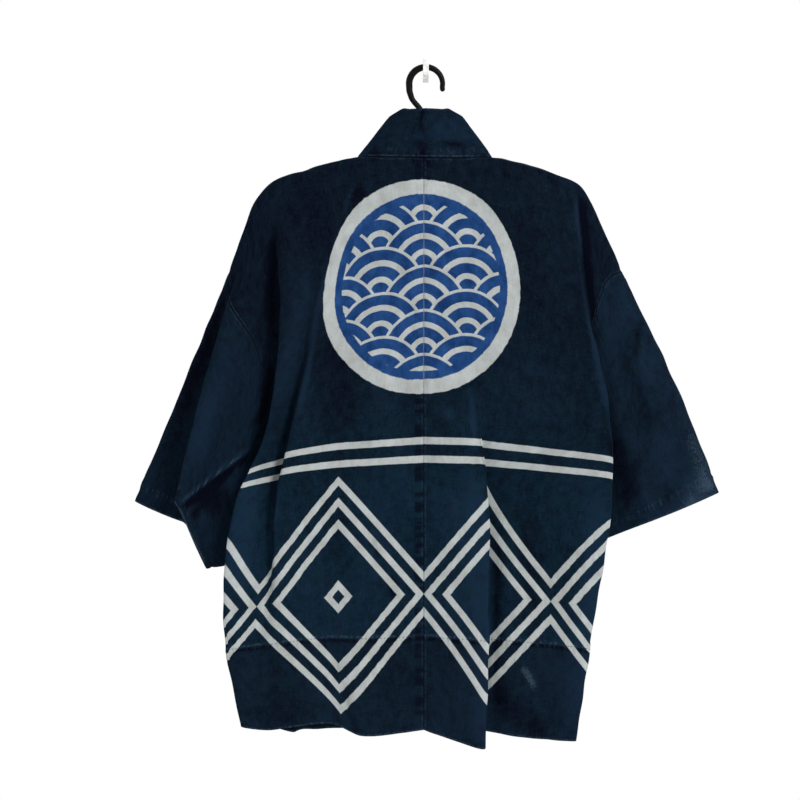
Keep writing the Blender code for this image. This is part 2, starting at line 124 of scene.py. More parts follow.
# Cubic Hermite curve through points along axis 0, slopes of a Catmull-Rom curve on uneven knots;
# with crowd the steps are cosine spaced, closer together where a fold turns.
def hermite(points, spans, counts, crowd=False):
    steps = np.diff(points, axis=0) / spans
    slopes = np.empty_like(points)
    slopes[0], slopes[-1] = steps[0], steps[-1]
    both = spans[:-1] + spans[1:]
    slopes[1:-1] = steps[:-1] - (points[2:] - points[:-2]) / both + steps[1:]
    stretches = []
    for i, count in enumerate(counts):
        t = np.arange(count) / count
        if crowd:
            t = (1 - np.cos(math.pi * t)) / 2
        t = t.reshape((-1,) + (1,) * (points.ndim - 1))
        stretches.append(
            (2 * t**3 - 3 * t**2 + 1) * points[i]
            + (t**3 - 2 * t**2 + t) * slopes[i] * spans[i]
            + (3 * t**2 - 2 * t**3) * points[i + 1]
            + (t**3 - t**2) * slopes[i + 1] * spans[i]
        )
    stretches.append(points[-1:])
    return np.concatenate(stretches)


# The same with knots spaced by the square root of the distance between points.
def smooth(points, counts, crowd=False):
    points = np.asarray(points, float)
    spans = np.sqrt(np.linalg.norm(np.diff(points, axis=0), axis=-1, keepdims=True))
    return hermite(points, np.maximum(spans, 0.5), counts, crowd)


# A sleeve: smooth along its lines, then a closed smooth ring through them in every row.
def sleeveSurface(table, columns):
    columns = [count * cut["fine"] for count in columns]
    lines = np.array([list(line) for line in table.values()], float)
    along = smooth(lines.transpose(1, 0, 2), [cut["sleeveSteps"] * cut["fine"]] * 2).transpose(1, 0, 2)
    ring = np.concatenate([along[-2:], along, along[:3]])
    start = sum(columns[-2:])
    around = smooth(ring, columns[-2:] + columns + columns[:2], crowd=True)
    return around[start : start + sum(columns) + 1].transpose(1, 0, 2)


# A quarter ellipse from each shoulder point, out and down, where the cloth rounds over the hanger;
# along the neck seam it runs straight down instead.
def rollOver(shoulders, face):
    shoulders = np.array(shoulders, float)
    points = []
    for i, point in enumerate(shoulders):
        if i < cut["neckLine"]:
            points.append([point + (0, -0.5, -cut["rollDown"] / 2), point + (0, -1, -cut["rollDown"])])
            continue
        run = shoulders[min(i + 1, len(shoulders) - 1)] - shoulders[max(i - 1, cut["neckLine"])]
        run /= np.linalg.norm(run[[0, 2]])
        down = np.array([run[2], 0, -run[0]]) * np.sign(run[0]) * cut["rollDown"]
        out = np.array([0, face * cut["rollOut"], 0])
        turns = (math.pi / 4, math.pi / 2)
        points.append([point + out * math.sin(turn) + down * (1 - math.cos(turn)) for turn in turns])
    return points


# One line's points from shoulder to hem; the levels sink to the side with the square of its share.
def linePoints(shoulder, roll, xs, ys, share, sideColumn, hem):
    draped = [levels[name] for name in drapedLevels]
    zs = [level[0] + (level[sideColumn] - level[0]) * share**2 for level in draped]
    return np.concatenate([[shoulder], roll, np.stack([xs, ys, zs], 1), [hem]]).astype(float)


# Smooth down each line, held to the armhole at the side, then smooth across every row.
def panelSurface(lines, columns, armhole):
    down = np.stack([smooth(line, levelSteps) for line in lines])
    down[-1, : len(armhole)] = armhole
    return smooth(down, columns, crowd=True).transpose(1, 0, 2)


# A body length: rows from the front hem over the shoulder to the back hem, and where it is cloth.
def bodySurface(table, sleeve, side):
    lines = list(table.values())
    columns = [line[0] * cut["fine"] for line in lines][:-1]
    neck = cut["neckLine"]
    sideColumn = 1 if side > 0 else 2
    outward = (side, 1, 1)
    toFoot = sum(levelSteps[:4])
    upperRows = np.cumsum([0] + levelSteps)[:4]
    armholeBack = sleeve[0][: toFoot + 1]
    armholeFront = sleeve[0][toFoot:][::-1]
    shoulders = np.array([line[2] for line in lines], float) * outward

    backs = []
    for (_, share, _, xs, ys, hem), shoulder, roll in zip(lines, shoulders, rollOver(shoulders, -1)):
        xs, hem = np.multiply(xs, side), np.multiply(hem, outward)
        backs.append(linePoints(shoulder, roll, xs, ys, share, sideColumn, hem))
    sideSeam = backs[-1]
    sideSeam[:4] = armholeBack[upperRows]
    back = panelSurface(backs, columns, armholeBack)

    guides = np.array(list(frontLines.values()), float)
    places = np.linspace(0, 1, len(guides))
    fronts = []
    rolls = rollOver(shoulders, 1)
    for i in range(neck, len(lines) - 1):
        place = (i - neck) / (len(lines) - 2 - neck)
        row = np.array([np.interp(place, places, column) for column in guides.T])
        xs, ys = side * row[:5], row[5:10]
        hem = (xs[4], ys[4], row[10])
        fronts.append(linePoints(shoulders[i], rolls[i], xs[:4], ys[:4], lines[i][1], sideColumn, hem))
    frontSeam = sideSeam.copy()
    frontSeam[:4] = armholeFront[upperRows]
    fronts.append(frontSeam)
    front = panelSurface(fronts, columns[neck:], armholeFront)
    front[toFoot:, -1] = back[toFoot:, -1]

    first = sum(columns[:neck])
    blank = np.repeat(front[1:, :1], first, axis=1)
    upper = np.concatenate([blank, front[1:]], axis=1)[::-1]
    grid = np.concatenate([upper, back])
    cells = np.ones((len(grid) - 1, grid.shape[1] - 1), bool)
    cells[: len(upper), :first] = False
    return grid, cells, first


# Running length along axis 0, starting at nought.
def runLength(points):
    steps = np.linalg.norm(np.diff(points, axis=0), axis=-1)
    return np.concatenate([np.zeros((1,) + steps.shape[1:]), np.cumsum(steps, axis=0)])


# Running length along the rows of a grid, from its first column.
def runAcross(grid):
    return runLength(grid.transpose(1, 0, 2)).T


# The band: rows along the neck seam from the left front hem to the right, straight across each row.
def collarSurface(bodyRight, firstRight, bodyLeft, firstLeft):
    halves = []
    for grid, first, side in ((bodyRight, firstRight, 1), (bodyLeft, firstLeft, -1)):
        top = len(grid) // 2
        seam = np.concatenate([grid[top, : first + 1], grid[:top, first][::-1]])
        run = runLength(seam)
        knots = np.array([row[0] for row in collarEdge], float)
        above, below = knots * run[first] / cut["neckRun"], knots * run[-1] / knots[-1]
        knots = np.where(knots <= cut["neckRun"], above, below)
        edge = np.array([(knot, side * x, y, z) for knot, (_, (x, y, z)) in zip(knots, collarEdge)])
        fine = hermite(edge, np.diff(knots)[:, None], [cut["edgeSteps"]] * (len(edge) - 1))
        free = np.stack([np.interp(run, fine[:, 0], fine[:, k]) for k in (1, 2, 3)], 1)
        share = np.linspace(0, 1, cut["collarSteps"] * cut["fine"] + 1)[None, :, None]
        halves.append(seam[:, None] + (free - seam)[:, None] * share)
    right, left = halves
    return np.concatenate([left[::-1], right[1:]])


sleeves = {
    "right": sleeveSurface(sleeveRight, cut["sleeveColumns"]["right"]),
    "left": sleeveSurface(sleeveLeft, cut["sleeveColumns"]["left"]),
}
bodies = {
    "right": bodySurface(backRight, sleeves["right"], 1),
    "left": bodySurface(backLeft, sleeves["left"], -1),
}
collarGrid = collarSurface(*bodies["right"][::2], *bodies["left"][::2])
print("surfaces worked out")


# The corners of every grid cell in order round it, as (cells, 4, ...).
def cornersOf(grid, cells, flip):
    corners = np.stack([grid[:-1, :-1], grid[1:, :-1], grid[1:, 1:], grid[:-1, 1:]], 2)
    corners = corners[cells] if cells is not None else corners.reshape((-1,) + corners.shape[2:])
    return corners[:, ::-1] if flip else corners


# A sheet: its points, its four-cornered faces and their flat places u across and v along, in metres.
def sheetOf(grid, flat, cells=None, closed=False, flip=False):
    rows, columns = grid.shape[:2]
    index = np.arange(rows * columns).reshape(rows, columns)
    if closed:
        index[:, -1] = index[:, 0]
    return {
        "grid": grid, "flatGrid": flat, "points": grid.reshape(-1, 3).copy(), "index": index,
        "quads": cornersOf(index, cells, flip), "flat": cornersOf(flat, cells, flip),
    }


# Flat places on a body length: u is the run along the row from the centre seam, v the run down from
# the shoulder, taken along the centre seam behind and along the collar seam in front.
def bodyFlat(grid, first, side):
    top = len(grid) // 2
    u = runAcross(grid)
    u[:top] = cut["neckHalf"] + u[:top] - u[:top, first : first + 1]
    v = np.concatenate([runLength(grid[top::-1, first])[:0:-1], runLength(grid[top:, 0])])
    return np.stack([side * u, np.broadcast_to(v[:, None], u.shape)], -1) * mm


# Flat places on a sleeve or the band: u is the run across from the first column, v along that column.
def stripFlat(grid):
    u = runAcross(grid)
    v = runLength(grid[:, 0])
    return np.stack([u, np.broadcast_to(v[:, None], u.shape)], -1) * mm


sheets = {}
for side, sign in (("right", 1), ("left", -1)):
    grid, cells, first = bodies[side]
    sheets["body_" + side] = sheetOf(grid, bodyFlat(grid, first, sign), cells, flip=sign < 0)
    grid = sleeves[side]
    sheets["sleeve_" + side] = sheetOf(grid, stripFlat(grid), closed=True, flip=sign > 0)
sheets["collar"] = sheetOf(collarGrid, stripFlat(collarGrid))


# Unit vectors.
def unit(vectors):
    return vectors / np.maximum(np.linalg.norm(vectors, axis=-1, keepdims=True), 1e-9)


# Vectors given at each face's corners, added up at the points that the faces share.
def gathered(index, vectors, count):
    total = np.zeros((count, 3))
    for k in range(4):
        for axis in range(3):
            total[:, axis] += np.bincount(index[:, k], vectors[:, k, axis], minlength=count)
    return total


# Normals at the points: the areas of the faces round each, as vectors, added up to unit length.
# Points that share a number in same count as one.
def normalsOf(points, quads, same):
    corners = points[quads]
    areas = np.cross(corners[:, 2] - corners[:, 0], corners[:, 3] - corners[:, 1])
    return unit(gathered(same[quads], np.broadcast_to(areas[:, None], corners.shape), same.max() + 1))[same]


# Normals where sheets meet are the mean over all of them.
def meetNormals(parts):
    everything = np.concatenate([part["points"] for part in parts])
    same = np.unique(np.round(everything, 3), axis=0, return_inverse=True)[1].reshape(-1)
    starts = np.cumsum([0] + [len(part["points"]) for part in parts])
    quads = np.concatenate([part["quads"] + start for part, start in zip(parts, starts)])
    normals = normalsOf(everything, quads, same)
    for part, start, end in zip(parts, starts, starts[1:]):
        part["normals"] = normals[start:end]


meetNormals(list(sheets.values()))

# Paths that more than one kind of stroke follows, as x, z, x, z and so on in mm.
paths = {
    "sleeve fold": (-347, -611, -300, -575, -262, -545, -238, -527),
    "collar fold": (-5, -58, -8, -76, -3, -96),
    "collar cross": (14, -102, 36, -106, 62, -105),
    "arm line": (314, -330, 298, -372, 290, -420),
    "cuff ridge": (296, -560, 308, -592, 318, -622),
}
# Creases: heights and widths in mm, paths as above.
# name: (height out of the cloth, half width, fade at the start and at the end if not the usual, path)
creasesBehind = {
    "shoulder pull left": (1.6, 11, 0.3, 0.5, (-122, -165, -126, -215, -131, -275)),
    "shoulder pull right": (1.3, 12, 0.3, 0.5, (170, -170, 158, -225, 150, -300)),
    "blade left": (-1.5, 14, 0.4, 0.5, (-185, -190, -172, -250, -168, -330)),
    "blade right": (-1.2, 16, 0.4, 0.5, (120, -180, 128, -250, 131, -340)),
    "upper arm right": (1.5, 10, 0.4, 0.4, (214, -215, 226, -270, 238, -340)),
    "waist left": (1.5, 9, 0.5, 0.5, (-69, -640, -61, -690, -50, -735)),
    "waist cross": (1.0, 9, 0.5, 0.5, (-150, -600, -120, -640, -88, -668)),
    "skirt left": (-1.4, 14, 0.5, 0.3, (-165, -650, -160, -760, -152, -870)),
    "skirt right": (1.4, 13, 0.5, 0.3, (118, -640, 122, -740, 118, -850)),
    "skirt far right": (-1.3, 12, 0.5, 0.3, (176, -610, 172, -710, 164, -830)),
    "hem fold left": (-2.2, 7, 0.4, 0.05, (-118, -852, -112, -900, -99, -940)),
    "hem fold middle": (1.5, 8, 0.5, 0.05, (-30, -850, -26, -890, -24, -940)),
    "hem fold right": (1.8, 9, 0.5, 0.05, (128, -840, 124, -890, 122, -950)),
    "hem fold far right": (-1.5, 8, 0.5, 0.05, (178, -860, 172, -900, 168, -950)),
    "right waist soft": (1.2, 14, 0.5, 0.5, (112, -420, 132, -480, 148, -560)),
    "left of seam": (-0.9, 18, 0.5, 0.5, (-34, -330, -38, -470, -36, -600)),
    "sleeve right upper": (1.5, 9, 0.4, 0.5, (282, -355, 300, -420, 322, -500)),
    "sleeve right lower": (1.3, 10, 0.4, 0.5, (246, -430, 268, -500, 300, -580)),
    "sleeve right fold": (-1.3, 9, 0.4, 0.4, (262, -390, 284, -450, 306, -540)),
    "sleeve right cuff": (1.0, 7, 0.4, 0.2, (338, -560, 346, -590, 352, -625)),
    "sleeve left soft": (1.2, 4, (-322, -631, -300, -620, -276, -612)),
    "sleeve left fold": (1.5, 4, 0.05, 0.2, paths["sleeve fold"]),
    "sleeve left upper": (1.3, 9, 0.4, 0.4, (-262, -420, -284, -480, -300, -540)),
    "sleeve left pull": (-1.2, 8, 0.4, 0.4, (-240, -470, -262, -520, -290, -556)),
    "collar fold": (-1.3, 3.5, 0.05, 0.3, paths["collar fold"]),
    "collar cross": (-1.1, 3, paths["collar cross"]),
    "collar slant": (1.1, 4, (-52, -84, -30, -92, -12, -96)),
    "collar corner": (0.9, 5, (40, -66, 56, -84, 70, -104)),
    "arm line right": (-0.9, 3, paths["arm line"]),
    "arm cross right": (0.8, 4, (246, -312, 268, -302, 292, -296)),
    "cuff ridge right": (1.5, 5, 0.3, 0.05, paths["cuff ridge"]),
    "cuff ridge far right": (1.0, 4, 0.3, 0.05, (357, -560, 364, -580, 368, -604)),
    "cuff trough right": (-1.2, 5, 0.3, 0.1, (270, -566, 286, -606, 294, -640)),
}
creasesBefore = {
    "front pull left": (1.5, 11, 0.3, 0.5, (-150, -170, -146, -230, -138, -310)),
    "front pull right": (1.4, 12, 0.3, 0.5, (152, -168, 144, -240, 140, -330)),
    "front blade left": (-1.4, 14, 0.4, 0.5, (-196, -210, -186, -280, -172, -360)),
    "front blade right": (-1.3, 13, 0.4, 0.5, (200, -215, 186, -280, 176, -350)),
    "skirt before left": (1.7, 12, 0.5, 0.1, (-122, -610, -126, -740, -124, -930)),
    "skirt before right": (1.6, 13, 0.5, 0.1, (126, -560, 122, -730, 126, -930)),
    "hem before left": (-1.5, 9, 0.5, 0.05, (-160, -800, -158, -870, -156, -940)),
    "hem before right": (-1.6, 9, 0.5, 0.05, (158, -790, 160, -860, 158, -940)),
    "cross before left": (1.2, 9, 0.5, 0.5, (-100, -430, -130, -470, -168, -490)),
    "cross before right": (1.2, 9, 0.5, 0.5, (104, -400, 134, -450, 170, -476)),
    "sleeve before right": (1.6, 9, 0.4, 0.4, (270, -350, 300, -440, 330, -540)),
    "sleeve before left": (1.6, 9, 0.4, 0.4, (-272, -350, -300, -440, -330, -550)),
    "sleeve crook right": (-1.4, 9, 0.4, 0.4, (236, -430, 262, -500, 296, -590)),
    "sleeve crook left": (-1.4, 9, 0.4, 0.4, (-240, -440, -268, -520, -298, -600)),
}
unevenness = {
    "creaseLift": 1.8, "troughAt": 2.1, "fades": (0.3, 0.3),  # troughs in half widths off, usual fades
    "body": (1.3, 105, 2.2, 11),  # height, size across, how much longer down, seed
    "small": (0.42, 34, 1.4, 12),
    "pucker": (0.55, 13, 1.0, 13), "puckerReach": 11,
    "waves": 26, "sizes": (0.7, 1.6), "tilt": 0.7,  # of the plane waves in each, sizes as shares
    "seamDip": 0.8, "seamReach": 3.0,  # the cloth sinks into every seam
    "calm": 0.35, "calmReach": 10,  # share of the folds left at a seam
    "facing": (0.25, 0.8),  # how far a point faces back or front before it takes that side's strokes
}
# Painted shade and painted highlights in the dye: shade in fold valleys, armpits and beside folds, highlights
# on lit ridges and folds, with a few real patches of tone and wear among them; laid as the creases are.
shadingAndTonesBehind = {
    "armpit left": (-0.25, 13, 0.25, 0.25, (-213, -205, -217, -284, -216, -335, -220, -389, -224, -440)),
    "armpit dark left": (-0.9, 6, 0.25, 0.25, (-212, -225, -216, -284, -220, -330, -222, -375)),
    "arm strip left": (-0.85, 12, 0.3, 0.5, (-263, -246, -284, -326, -333, -452, -352, -501, -388, -606)),
    "arm light left": (0.8, 15, 0.4, 0.3, (-282, -410, -308, -490, -330, -570)),
    "armpit lower left": (-0.8, 6, 0.2, 0.3, (-216, -405, -219, -440, -228, -480, -250, -520)),
    "ridge left": (1.3, 3.2, 0.3, 0.2, (-136, -260, -148, -330, -162, -410, -179, -494)),
    "ridge band left": (0.45, 16, 0.3, 0.2, (-162, -250, -178, -340, -194, -430, -206, -500)),
    "blade left": (-0.45, 34, 0.4, 0.4, (-118, -330, -124, -420, -126, -540)),
    "neck left": (-0.6, 8, 0.2, 0.3, (-108, -194, -98, -176, -80, -166)),
    "neck light left": (0.7, 3, (-116, -204, -108, -182, -100, -164)),
    "shoulder left": (-0.1, 26, (-165, -150, -186, -190, -200, -240)),
    "ridge right": (
        1.25, 3.2, 0.15, 0.15, (209, -167, 214, -225, 220, -297, 229, -364, 241, -431, 254, -494),
    ),
    "valley right": (-1.3, 5, 0.1, 0.3, (216, -172, 222, -220, 228, -290, 234, -350, 246, -410)),
    "arm patch right": (-0.3, 12, (285, -345, 293, -376, 282, -402, 278, -431, 275, -450)),
    "arm band right": (0.3, 12, (246, -318, 252, -368, 260, -404)),
    "arm outer right": (0.3, 15, (322, -380, 308, -420, 318, -455)),
    "arm bend right": (-0.3, 13, (300, -466, 311, -486, 306, -515)),
    "arm lower light": (0.4, 15, 0.3, 0.2, (330, -500, 336, -546, 338, -590)),
    "arm mottle right": (-0.3, 12, (296, -540, 292, -566, 302, -610)),
    "streak right": (0.9, 4, (62, -440, 66, -490, 68, -545)),
    "streak patch": (0.5, 8, 0.4, 0.4, (26, -470, 32, -486, 38, -500)),
    "pleat light": (1.3, 11, 0.25, 0.05, (62, -540, 70, -610, 76, -690, 80, -780, 80, -870, 78, -950)),
    "pleat glow": (0.35, 24, 0.3, 0.2, (48, -560, 56, -640, 62, -720, 64, -800)),
    "pleat shade": (-0.8, 7, 0.3, 0.1, (97, -600, 100, -700, 101, -800, 99, -900)),
    "side shade right": (-0.45, 16, (140, -600, 146, -680, 150, -760, 146, -820)),
    "side light right": (0.7, 15, 0.25, 0.2, (238, -560, 236, -640, 228, -730, 216, -830, 206, -930)),
    "skirt shade left": (-0.3, 18, 0.4, 0.4, (-112, -580, -121, -660, -124, -740)),
    "skirt light left": (0.2, 34, 0.4, 0.3, (-70, -560, -72, -660, -70, -770)),
    "skirt side light": (0.9, 18, 0.15, 0.3, (-246, -545, -250, -600, -260, -670, -262, -750)),
    "pleat light left": (0.8, 5, (-206, -560, -212, -620, -222, -690)),
    "hem corner left": (-0.3, 20, (-262, -892, -200, -905, -140, -908)),
    "hem corner right": (-0.6, 16, 0.2, 0.3, (96, -866, 112, -892, 140, -918, 180, -930)),
    "sleeve fold shade": (-1.3, 5, 0.1, 0.2, (-344, -619, -300, -584, -262, -554, -240, -537)),
    "sleeve fold patch": (-0.75, 24, (-330, -624, -300, -608, -268, -592)),
    "sleeve fold light": (1.5, 2.4, 0.1, 0.2, paths["sleeve fold"]),
    "sleeve cross dark": (-1.1, 1.8, 0.2, 0.3, (-336, -629, -310, -619, -286, -610)),
    "sleeve cross light": (0.9, 2.2, (-322, -635, -300, -624, -276, -616)),
    "cuff worn": (0.8, 22, 0.3, 0.05, (350, -590, 376, -592, 404, -590)),
    "cuff edge": (0.5, 12, 0.3, 0.1, (300, -640, 344, -622, 400, -604)),
    "collar teal": (0.4, 15, (4, -92, 26, -86, 44, -96)),
    "collar left": (-0.5, 12, (-60, -112, -74, -122, -84, -124)),
    "collar middle": (-0.6, 9, 0.3, 0.02, (-6, -97, -5, -112, -3, -128)),
    "collar dark right": (-0.35, 8, (28, -108, 46, -112, 62, -116)),
    "worn base": (-2.2, 6, (-20, -129, -6, -131, 8, -130)),
    "thin line 1": (-1.4, 2.5, (-83, -644, -74, -662, -62, -690)),
    "thin line 2": (-1.4, 2.5, (-52, -704, -45, -732, -43, -752)),
    "thin line 3": (0.9, 3.0, (-78, -640, -69, -660, -58, -684)),
    "collar fold": (-0.8, 3, 0.05, 0.3, paths["collar fold"]),
    "collar cross": (-0.6, 3, paths["collar cross"]),
    "collar light": (0.3, 9, (30, -70, 44, -84, 62, -104)),
    "arm line right": (-0.35, 3.5, paths["arm line"]),
    "arm glow right": (0.2, 6, (270, -280, 282, -350, 292, -430)),
    "cuff ridge right": (0.6, 4, 0.3, 0.1, paths["cuff ridge"]),
    "arm shade right": (-0.7, 13, 0.3, 0.2, (254, -500, 272, -560, 284, -630)),
}
# Painted shade and painted highlights on the front: shade in the armpits and beside folds, highlights on
# folds, chest and cuffs.
shadingAndTonesBefore = {
    "armpit left": (-0.45, 14, 0.4, 0.4, (-214, -230, -212, -320, -216, -420)),
    "armpit right": (-0.4, 14, 0.4, 0.4, (222, -220, 214, -320, 210, -420)),
    "fold left": (0.7, 8, 0.3, 0.1, (-138, -300, -132, -500, -130, -720, -128, -940)),
    "fold right": (0.7, 8, 0.3, 0.1, (142, -300, 136, -500, 134, -720, 132, -940)),
    "shade left": (-0.7, 12, 0.3, 0.2, (-164, -420, -160, -620, -156, -860)),
    "shade right": (-0.7, 12, 0.3, 0.2, (166, -400, 160, -640, 158, -860)),
    "chest left": (0.4, 30, (-120, -240, -118, -340, -112, -440)),
    "chest right": (0.4, 30, (124, -230, 120, -330, 114, -430)),
    "cuff left": (1.0, 18, 0.3, 0.1, (-320, -640, -362, -622, -400, -606)),
    "cuff right": (1.0, 18, 0.3, 0.1, (320, -640, 362, -618, 402, -596)),
}
# Where the dye is rubbed off, or below nought kept from wear, laid the same way; behind, two strokes are
# painted highlights on a lit fold edge and a lit ridge.
wornAndHighlightsBehind = {
    "cuff": (0.85, 27, 0.4, 0.02, (352, -618, 384, -602, 406, -588)),
    "cuff top": (0.95, 18, 0.4, 0.05, (362, -490, 386, -545, 404, -592)),
    "cuff edge": (0.75, 8, 0.4, 0.1, (280, -660, 330, -636, 384, -606)),
    "scuff upper": (1.1, 4, 0.2, 0.3, (146, -797, 160, -787, 176, -776)),
    "scuff lower": (1.1, 5, 0.2, 0.3, (134, -838, 144, -852, 154, -872)),
    "scuff light": (0.5, 9, (126, -826, 142, -850, 160, -884)),
    "hem specks": (0.6, 5, 0.2, 0.2, (-46, -906, -40, -914, -36, -922)),
    "left cuff edge": (1.5, 2.0, 0.1, 0.1, (-347, -611, -328, -655, -308, -699)),
    # Painted highlight along the lit edge of the left sleeve's fold.
    "left fold": (1.5, 1.3, 0.1, 0.3, paths["sleeve fold"]),
    "left arm line": (0.35, 2.0, 0.2, 0.4, (-270, -318, -282, -400, -306, -500, -338, -590)),
    # Painted highlight along the lit ridge at the right shoulder.
    "shoulder right": (0.4, 2.5, 0.3, 0.4, (209, -167, 214, -225, 220, -297)),
    "collar top": (0.3, 6, (-30, -66, 0, -64, 34, -68)),
    "armhole left unworn": (-0.85, 9, 0.2, 0.02, (-252, -335, -241, -380, -233, -430, -229, -500)),
}
wornBefore = {
    "cuff right": (1.0, 15, 0.3, 0.05, (352, -622, 384, -608, 408, -592)),
    "cuff left": (0.7, 10, 0.3, 0.05, (-352, -630, -384, -616, -408, -604)),
    "scuff": (0.6, 5, (-150, -700, -146, -724, -138, -746)),
    "hem right": (0.5, 5, (150, -918, 168, -924, 184, -930)),
}
strokes = {  # behind, in front, share of the trough beside each
    "crease": (creasesBehind, creasesBefore, 0.35),
    "paintedShadeAndTone": (shadingAndTonesBehind, shadingAndTonesBefore, 0),
    "worn": (wornAndHighlightsBehind, wornBefore, 0),
}


# The nearest place on a path to each point: distance, and share of the way along.
def nearPath(points, path):
    path = np.reshape(path, (-1, 2)).astype(float)
    run = runLength(path)
    best = np.full(len(points), np.inf)
    along = np.zeros(len(points))
    for i in range(len(path) - 1):
        step = path[i + 1] - path[i]
        t = np.clip(((points - path[i]) @ step) / (step @ step), 0, 1)
        distance = np.linalg.norm(points - path[i] - t[:, None] * step, axis=1)
        nearer = distance < best
        best = np.where(nearer, distance, best)
        along = np.where(nearer, (run[i] + t * (run[i + 1] - run[i])) / run[-1], along)
    return best, along


# Smooth step from 0 to 1 as x goes from low to high.
def easeBetween(x, low, high):
    t = np.clip((x - low) / (high - low), 0, 1)
    return t * t * (3 - 2 * t)


# Sum of strokes: each a rounded ridge, exp(-(d/w)^2), with a shallow trough beside it, faded at its ends.
def strokeSum(points, table, trough):
    total = np.zeros(len(points))
    for height, width, *fades, path in table.values():
        fadeIn, fadeOut = fades or unevenness["fades"]
        distance, along = nearPath(points, path)
        beside = np.exp(-((distance / width - unevenness["troughAt"]) ** 2))
        ridge = np.exp(-((distance / width) ** 2)) - trough * beside
        total += height * ridge * easeBetween(along, 0, fadeIn) * (1 - easeBetween(along, 1 - fadeOut, 1))
    return total


# Soft unevenness: the mean of many plane waves of about one size, in random directions and phases.
def rollingHeights(points, height, size, longer, seed):
    chance = np.random.default_rng(seed)
    waves = unevenness["waves"]
    turn = chance.uniform(0, wholeCircle, waves)
    length = size * chance.uniform(*unevenness["sizes"], waves)
    tilt = unevenness["tilt"] * chance.normal(size=waves)
    pushes = np.stack([np.cos(turn), tilt, np.sin(turn) / longer], 1)
    pushes *= (wholeCircle / length)[:, None]
    phase = chance.uniform(0, wholeCircle, waves)
    return height * np.sin(points @ pushes.T + phase).sum(1) * math.sqrt(2 / waves)


# How far the cloth stands off its base surface, by which way each point faces.
def standOff(part):
    points, normals = part["points"], part["normals"]
    behind, before = [easeBetween(way * normals[:, 1], *unevenness["facing"]) for way in (-1, 1)]
    for kind, (back, front, trough) in strokes.items():
        back, front = [strokeSum(points[:, [0, 2]], table, trough) for table in (back, front)]
        part[kind] = back * behind + front * before
    heights = part["crease"] * unevenness["creaseLift"]
    heights += rollingHeights(points, *unevenness["body"]) * (behind + before)
    heights += rollingHeights(points, *unevenness["small"])
    return heights


# Distance on the cloth from each point to the nearest sewn edge, in mm.
def seamDistance(name, part):
    grid = part["grid"]
    if name.startswith("sleeve"):
        return runLength(grid)
    across = runAcross(grid)
    if name == "collar":
        return across
    first = bodies[name[5:]][2]
    top = len(grid) // 2
    down = runLength(grid[top:])
    nearest = across[:, -1:] - across
    nearest[top:] = np.minimum(nearest[top:], across[top:])
    nearest[:top] = np.minimum(nearest[:top], np.abs(across[:top] - across[:top, first : first + 1]))
    nearest[top:, : first + 1] = np.minimum(nearest[top:, : first + 1], down[:, : first + 1])
    return nearest


# Distance from each point to the edge that hangs free: a body's hem, the cuff, the band's own edge.
def hemDistance(name, u, v):
    if name == "collar":
        return u[:, -1:] - u
    distance = v[-1, 0] - v
    if name.startswith("body"):
        top = len(v) // 2
        distance[:top] = v[0, 0] - v[:top]
    return distance


cloth = {
    "single": 1.1, "turned": 1.7, "band": 2.4, "bandEdge": 1.3,  # thickness in mm
    "hemDepth": 130, "hemRise": 0.5, "hemEase": 3, "cuffDepth": 22, "cuffEase": 2,
    "bandBulge": 0.8, "bandRound": 0.7, "bandFlat": 0.5, "bandEase": 4,
    "seamGap": 0.3, "rimRound": 0.45,
    "allowance": (0.5, 2, 15, 18), "allowanceRise": 0.4,  # seam edges folded left of the centre seam
}


# Each sheet's finished middle surface, its thickness, and which of its rims are sewn.
def workSheet(name, part):
    rows, columns = part["index"].shape
    top = rows // 2
    u, v = (part["flatGrid"] / mm).transpose(2, 0, 1)
    distance, hem = seamDistance(name, part), hemDistance(name, u, v)
    raised = standOff(part).reshape(rows, columns)
    raised -= unevenness["seamDip"] * np.exp(-((distance / unevenness["seamReach"]) ** 2))
    calm = unevenness["calm"]
    raised *= calm + (1 - calm) * easeBetween(distance, 0, unevenness["calmReach"])
    near = np.exp(-((distance / unevenness["puckerReach"]) ** 2))
    sewn = np.ones((rows, columns), bool)
    if name == "collar":
        bulge = np.sin(math.pi * np.linspace(0, 1, columns)) ** cloth["bandRound"]
        raised = cloth["bandFlat"] * raised + cloth["bandBulge"] * bulge
        filled = easeBetween(distance, 0, cloth["bandEase"])
        thickness = cloth["bandEdge"] + (cloth["band"] - cloth["bandEdge"]) * filled
        sewn[:, 1:] = False
    else:
        fold, ease = cloth["cuffDepth"], (0, cloth["cuffEase"])
        sewn[-1] = False
        if name.startswith("body"):
            fold, ease = cloth["hemDepth"], (-cloth["hemEase"], cloth["hemEase"])
            sewn[0] = False
        turned = 1 - easeBetween(hem, fold + ease[0], fold + ease[1])
        thickness = cloth["single"] + (cloth["turned"] - cloth["single"]) * turned
        near += np.exp(-(((hem - fold) / unevenness["puckerReach"]) ** 2))
    if name.startswith("body"):
        raised += cloth["hemRise"] * turned
    if name == "body_left":  # the seam's edges lie folded under this side
        start, full, falls, end = cloth["allowance"]
        under = easeBetween(-u, start, full) * (1 - easeBetween(-u, falls, end))
        raised[top:] += cloth["allowanceRise"] * under[top:]
    raised += rollingHeights(part["points"], *unevenness["pucker"]).reshape(rows, columns) * near
    part["seam"], part["hem"] = distance.reshape(-1), hem.reshape(-1)
    points = part["points"] + part["normals"] * raised.reshape(-1, 1)
    return points, thickness.reshape(-1), sewn.reshape(-1)


# An object in the scene.
def placed(name, data):
    made = bpy.data.objects.new(name, data)
    bpy.context.scene.collection.objects.link(made)
    return made


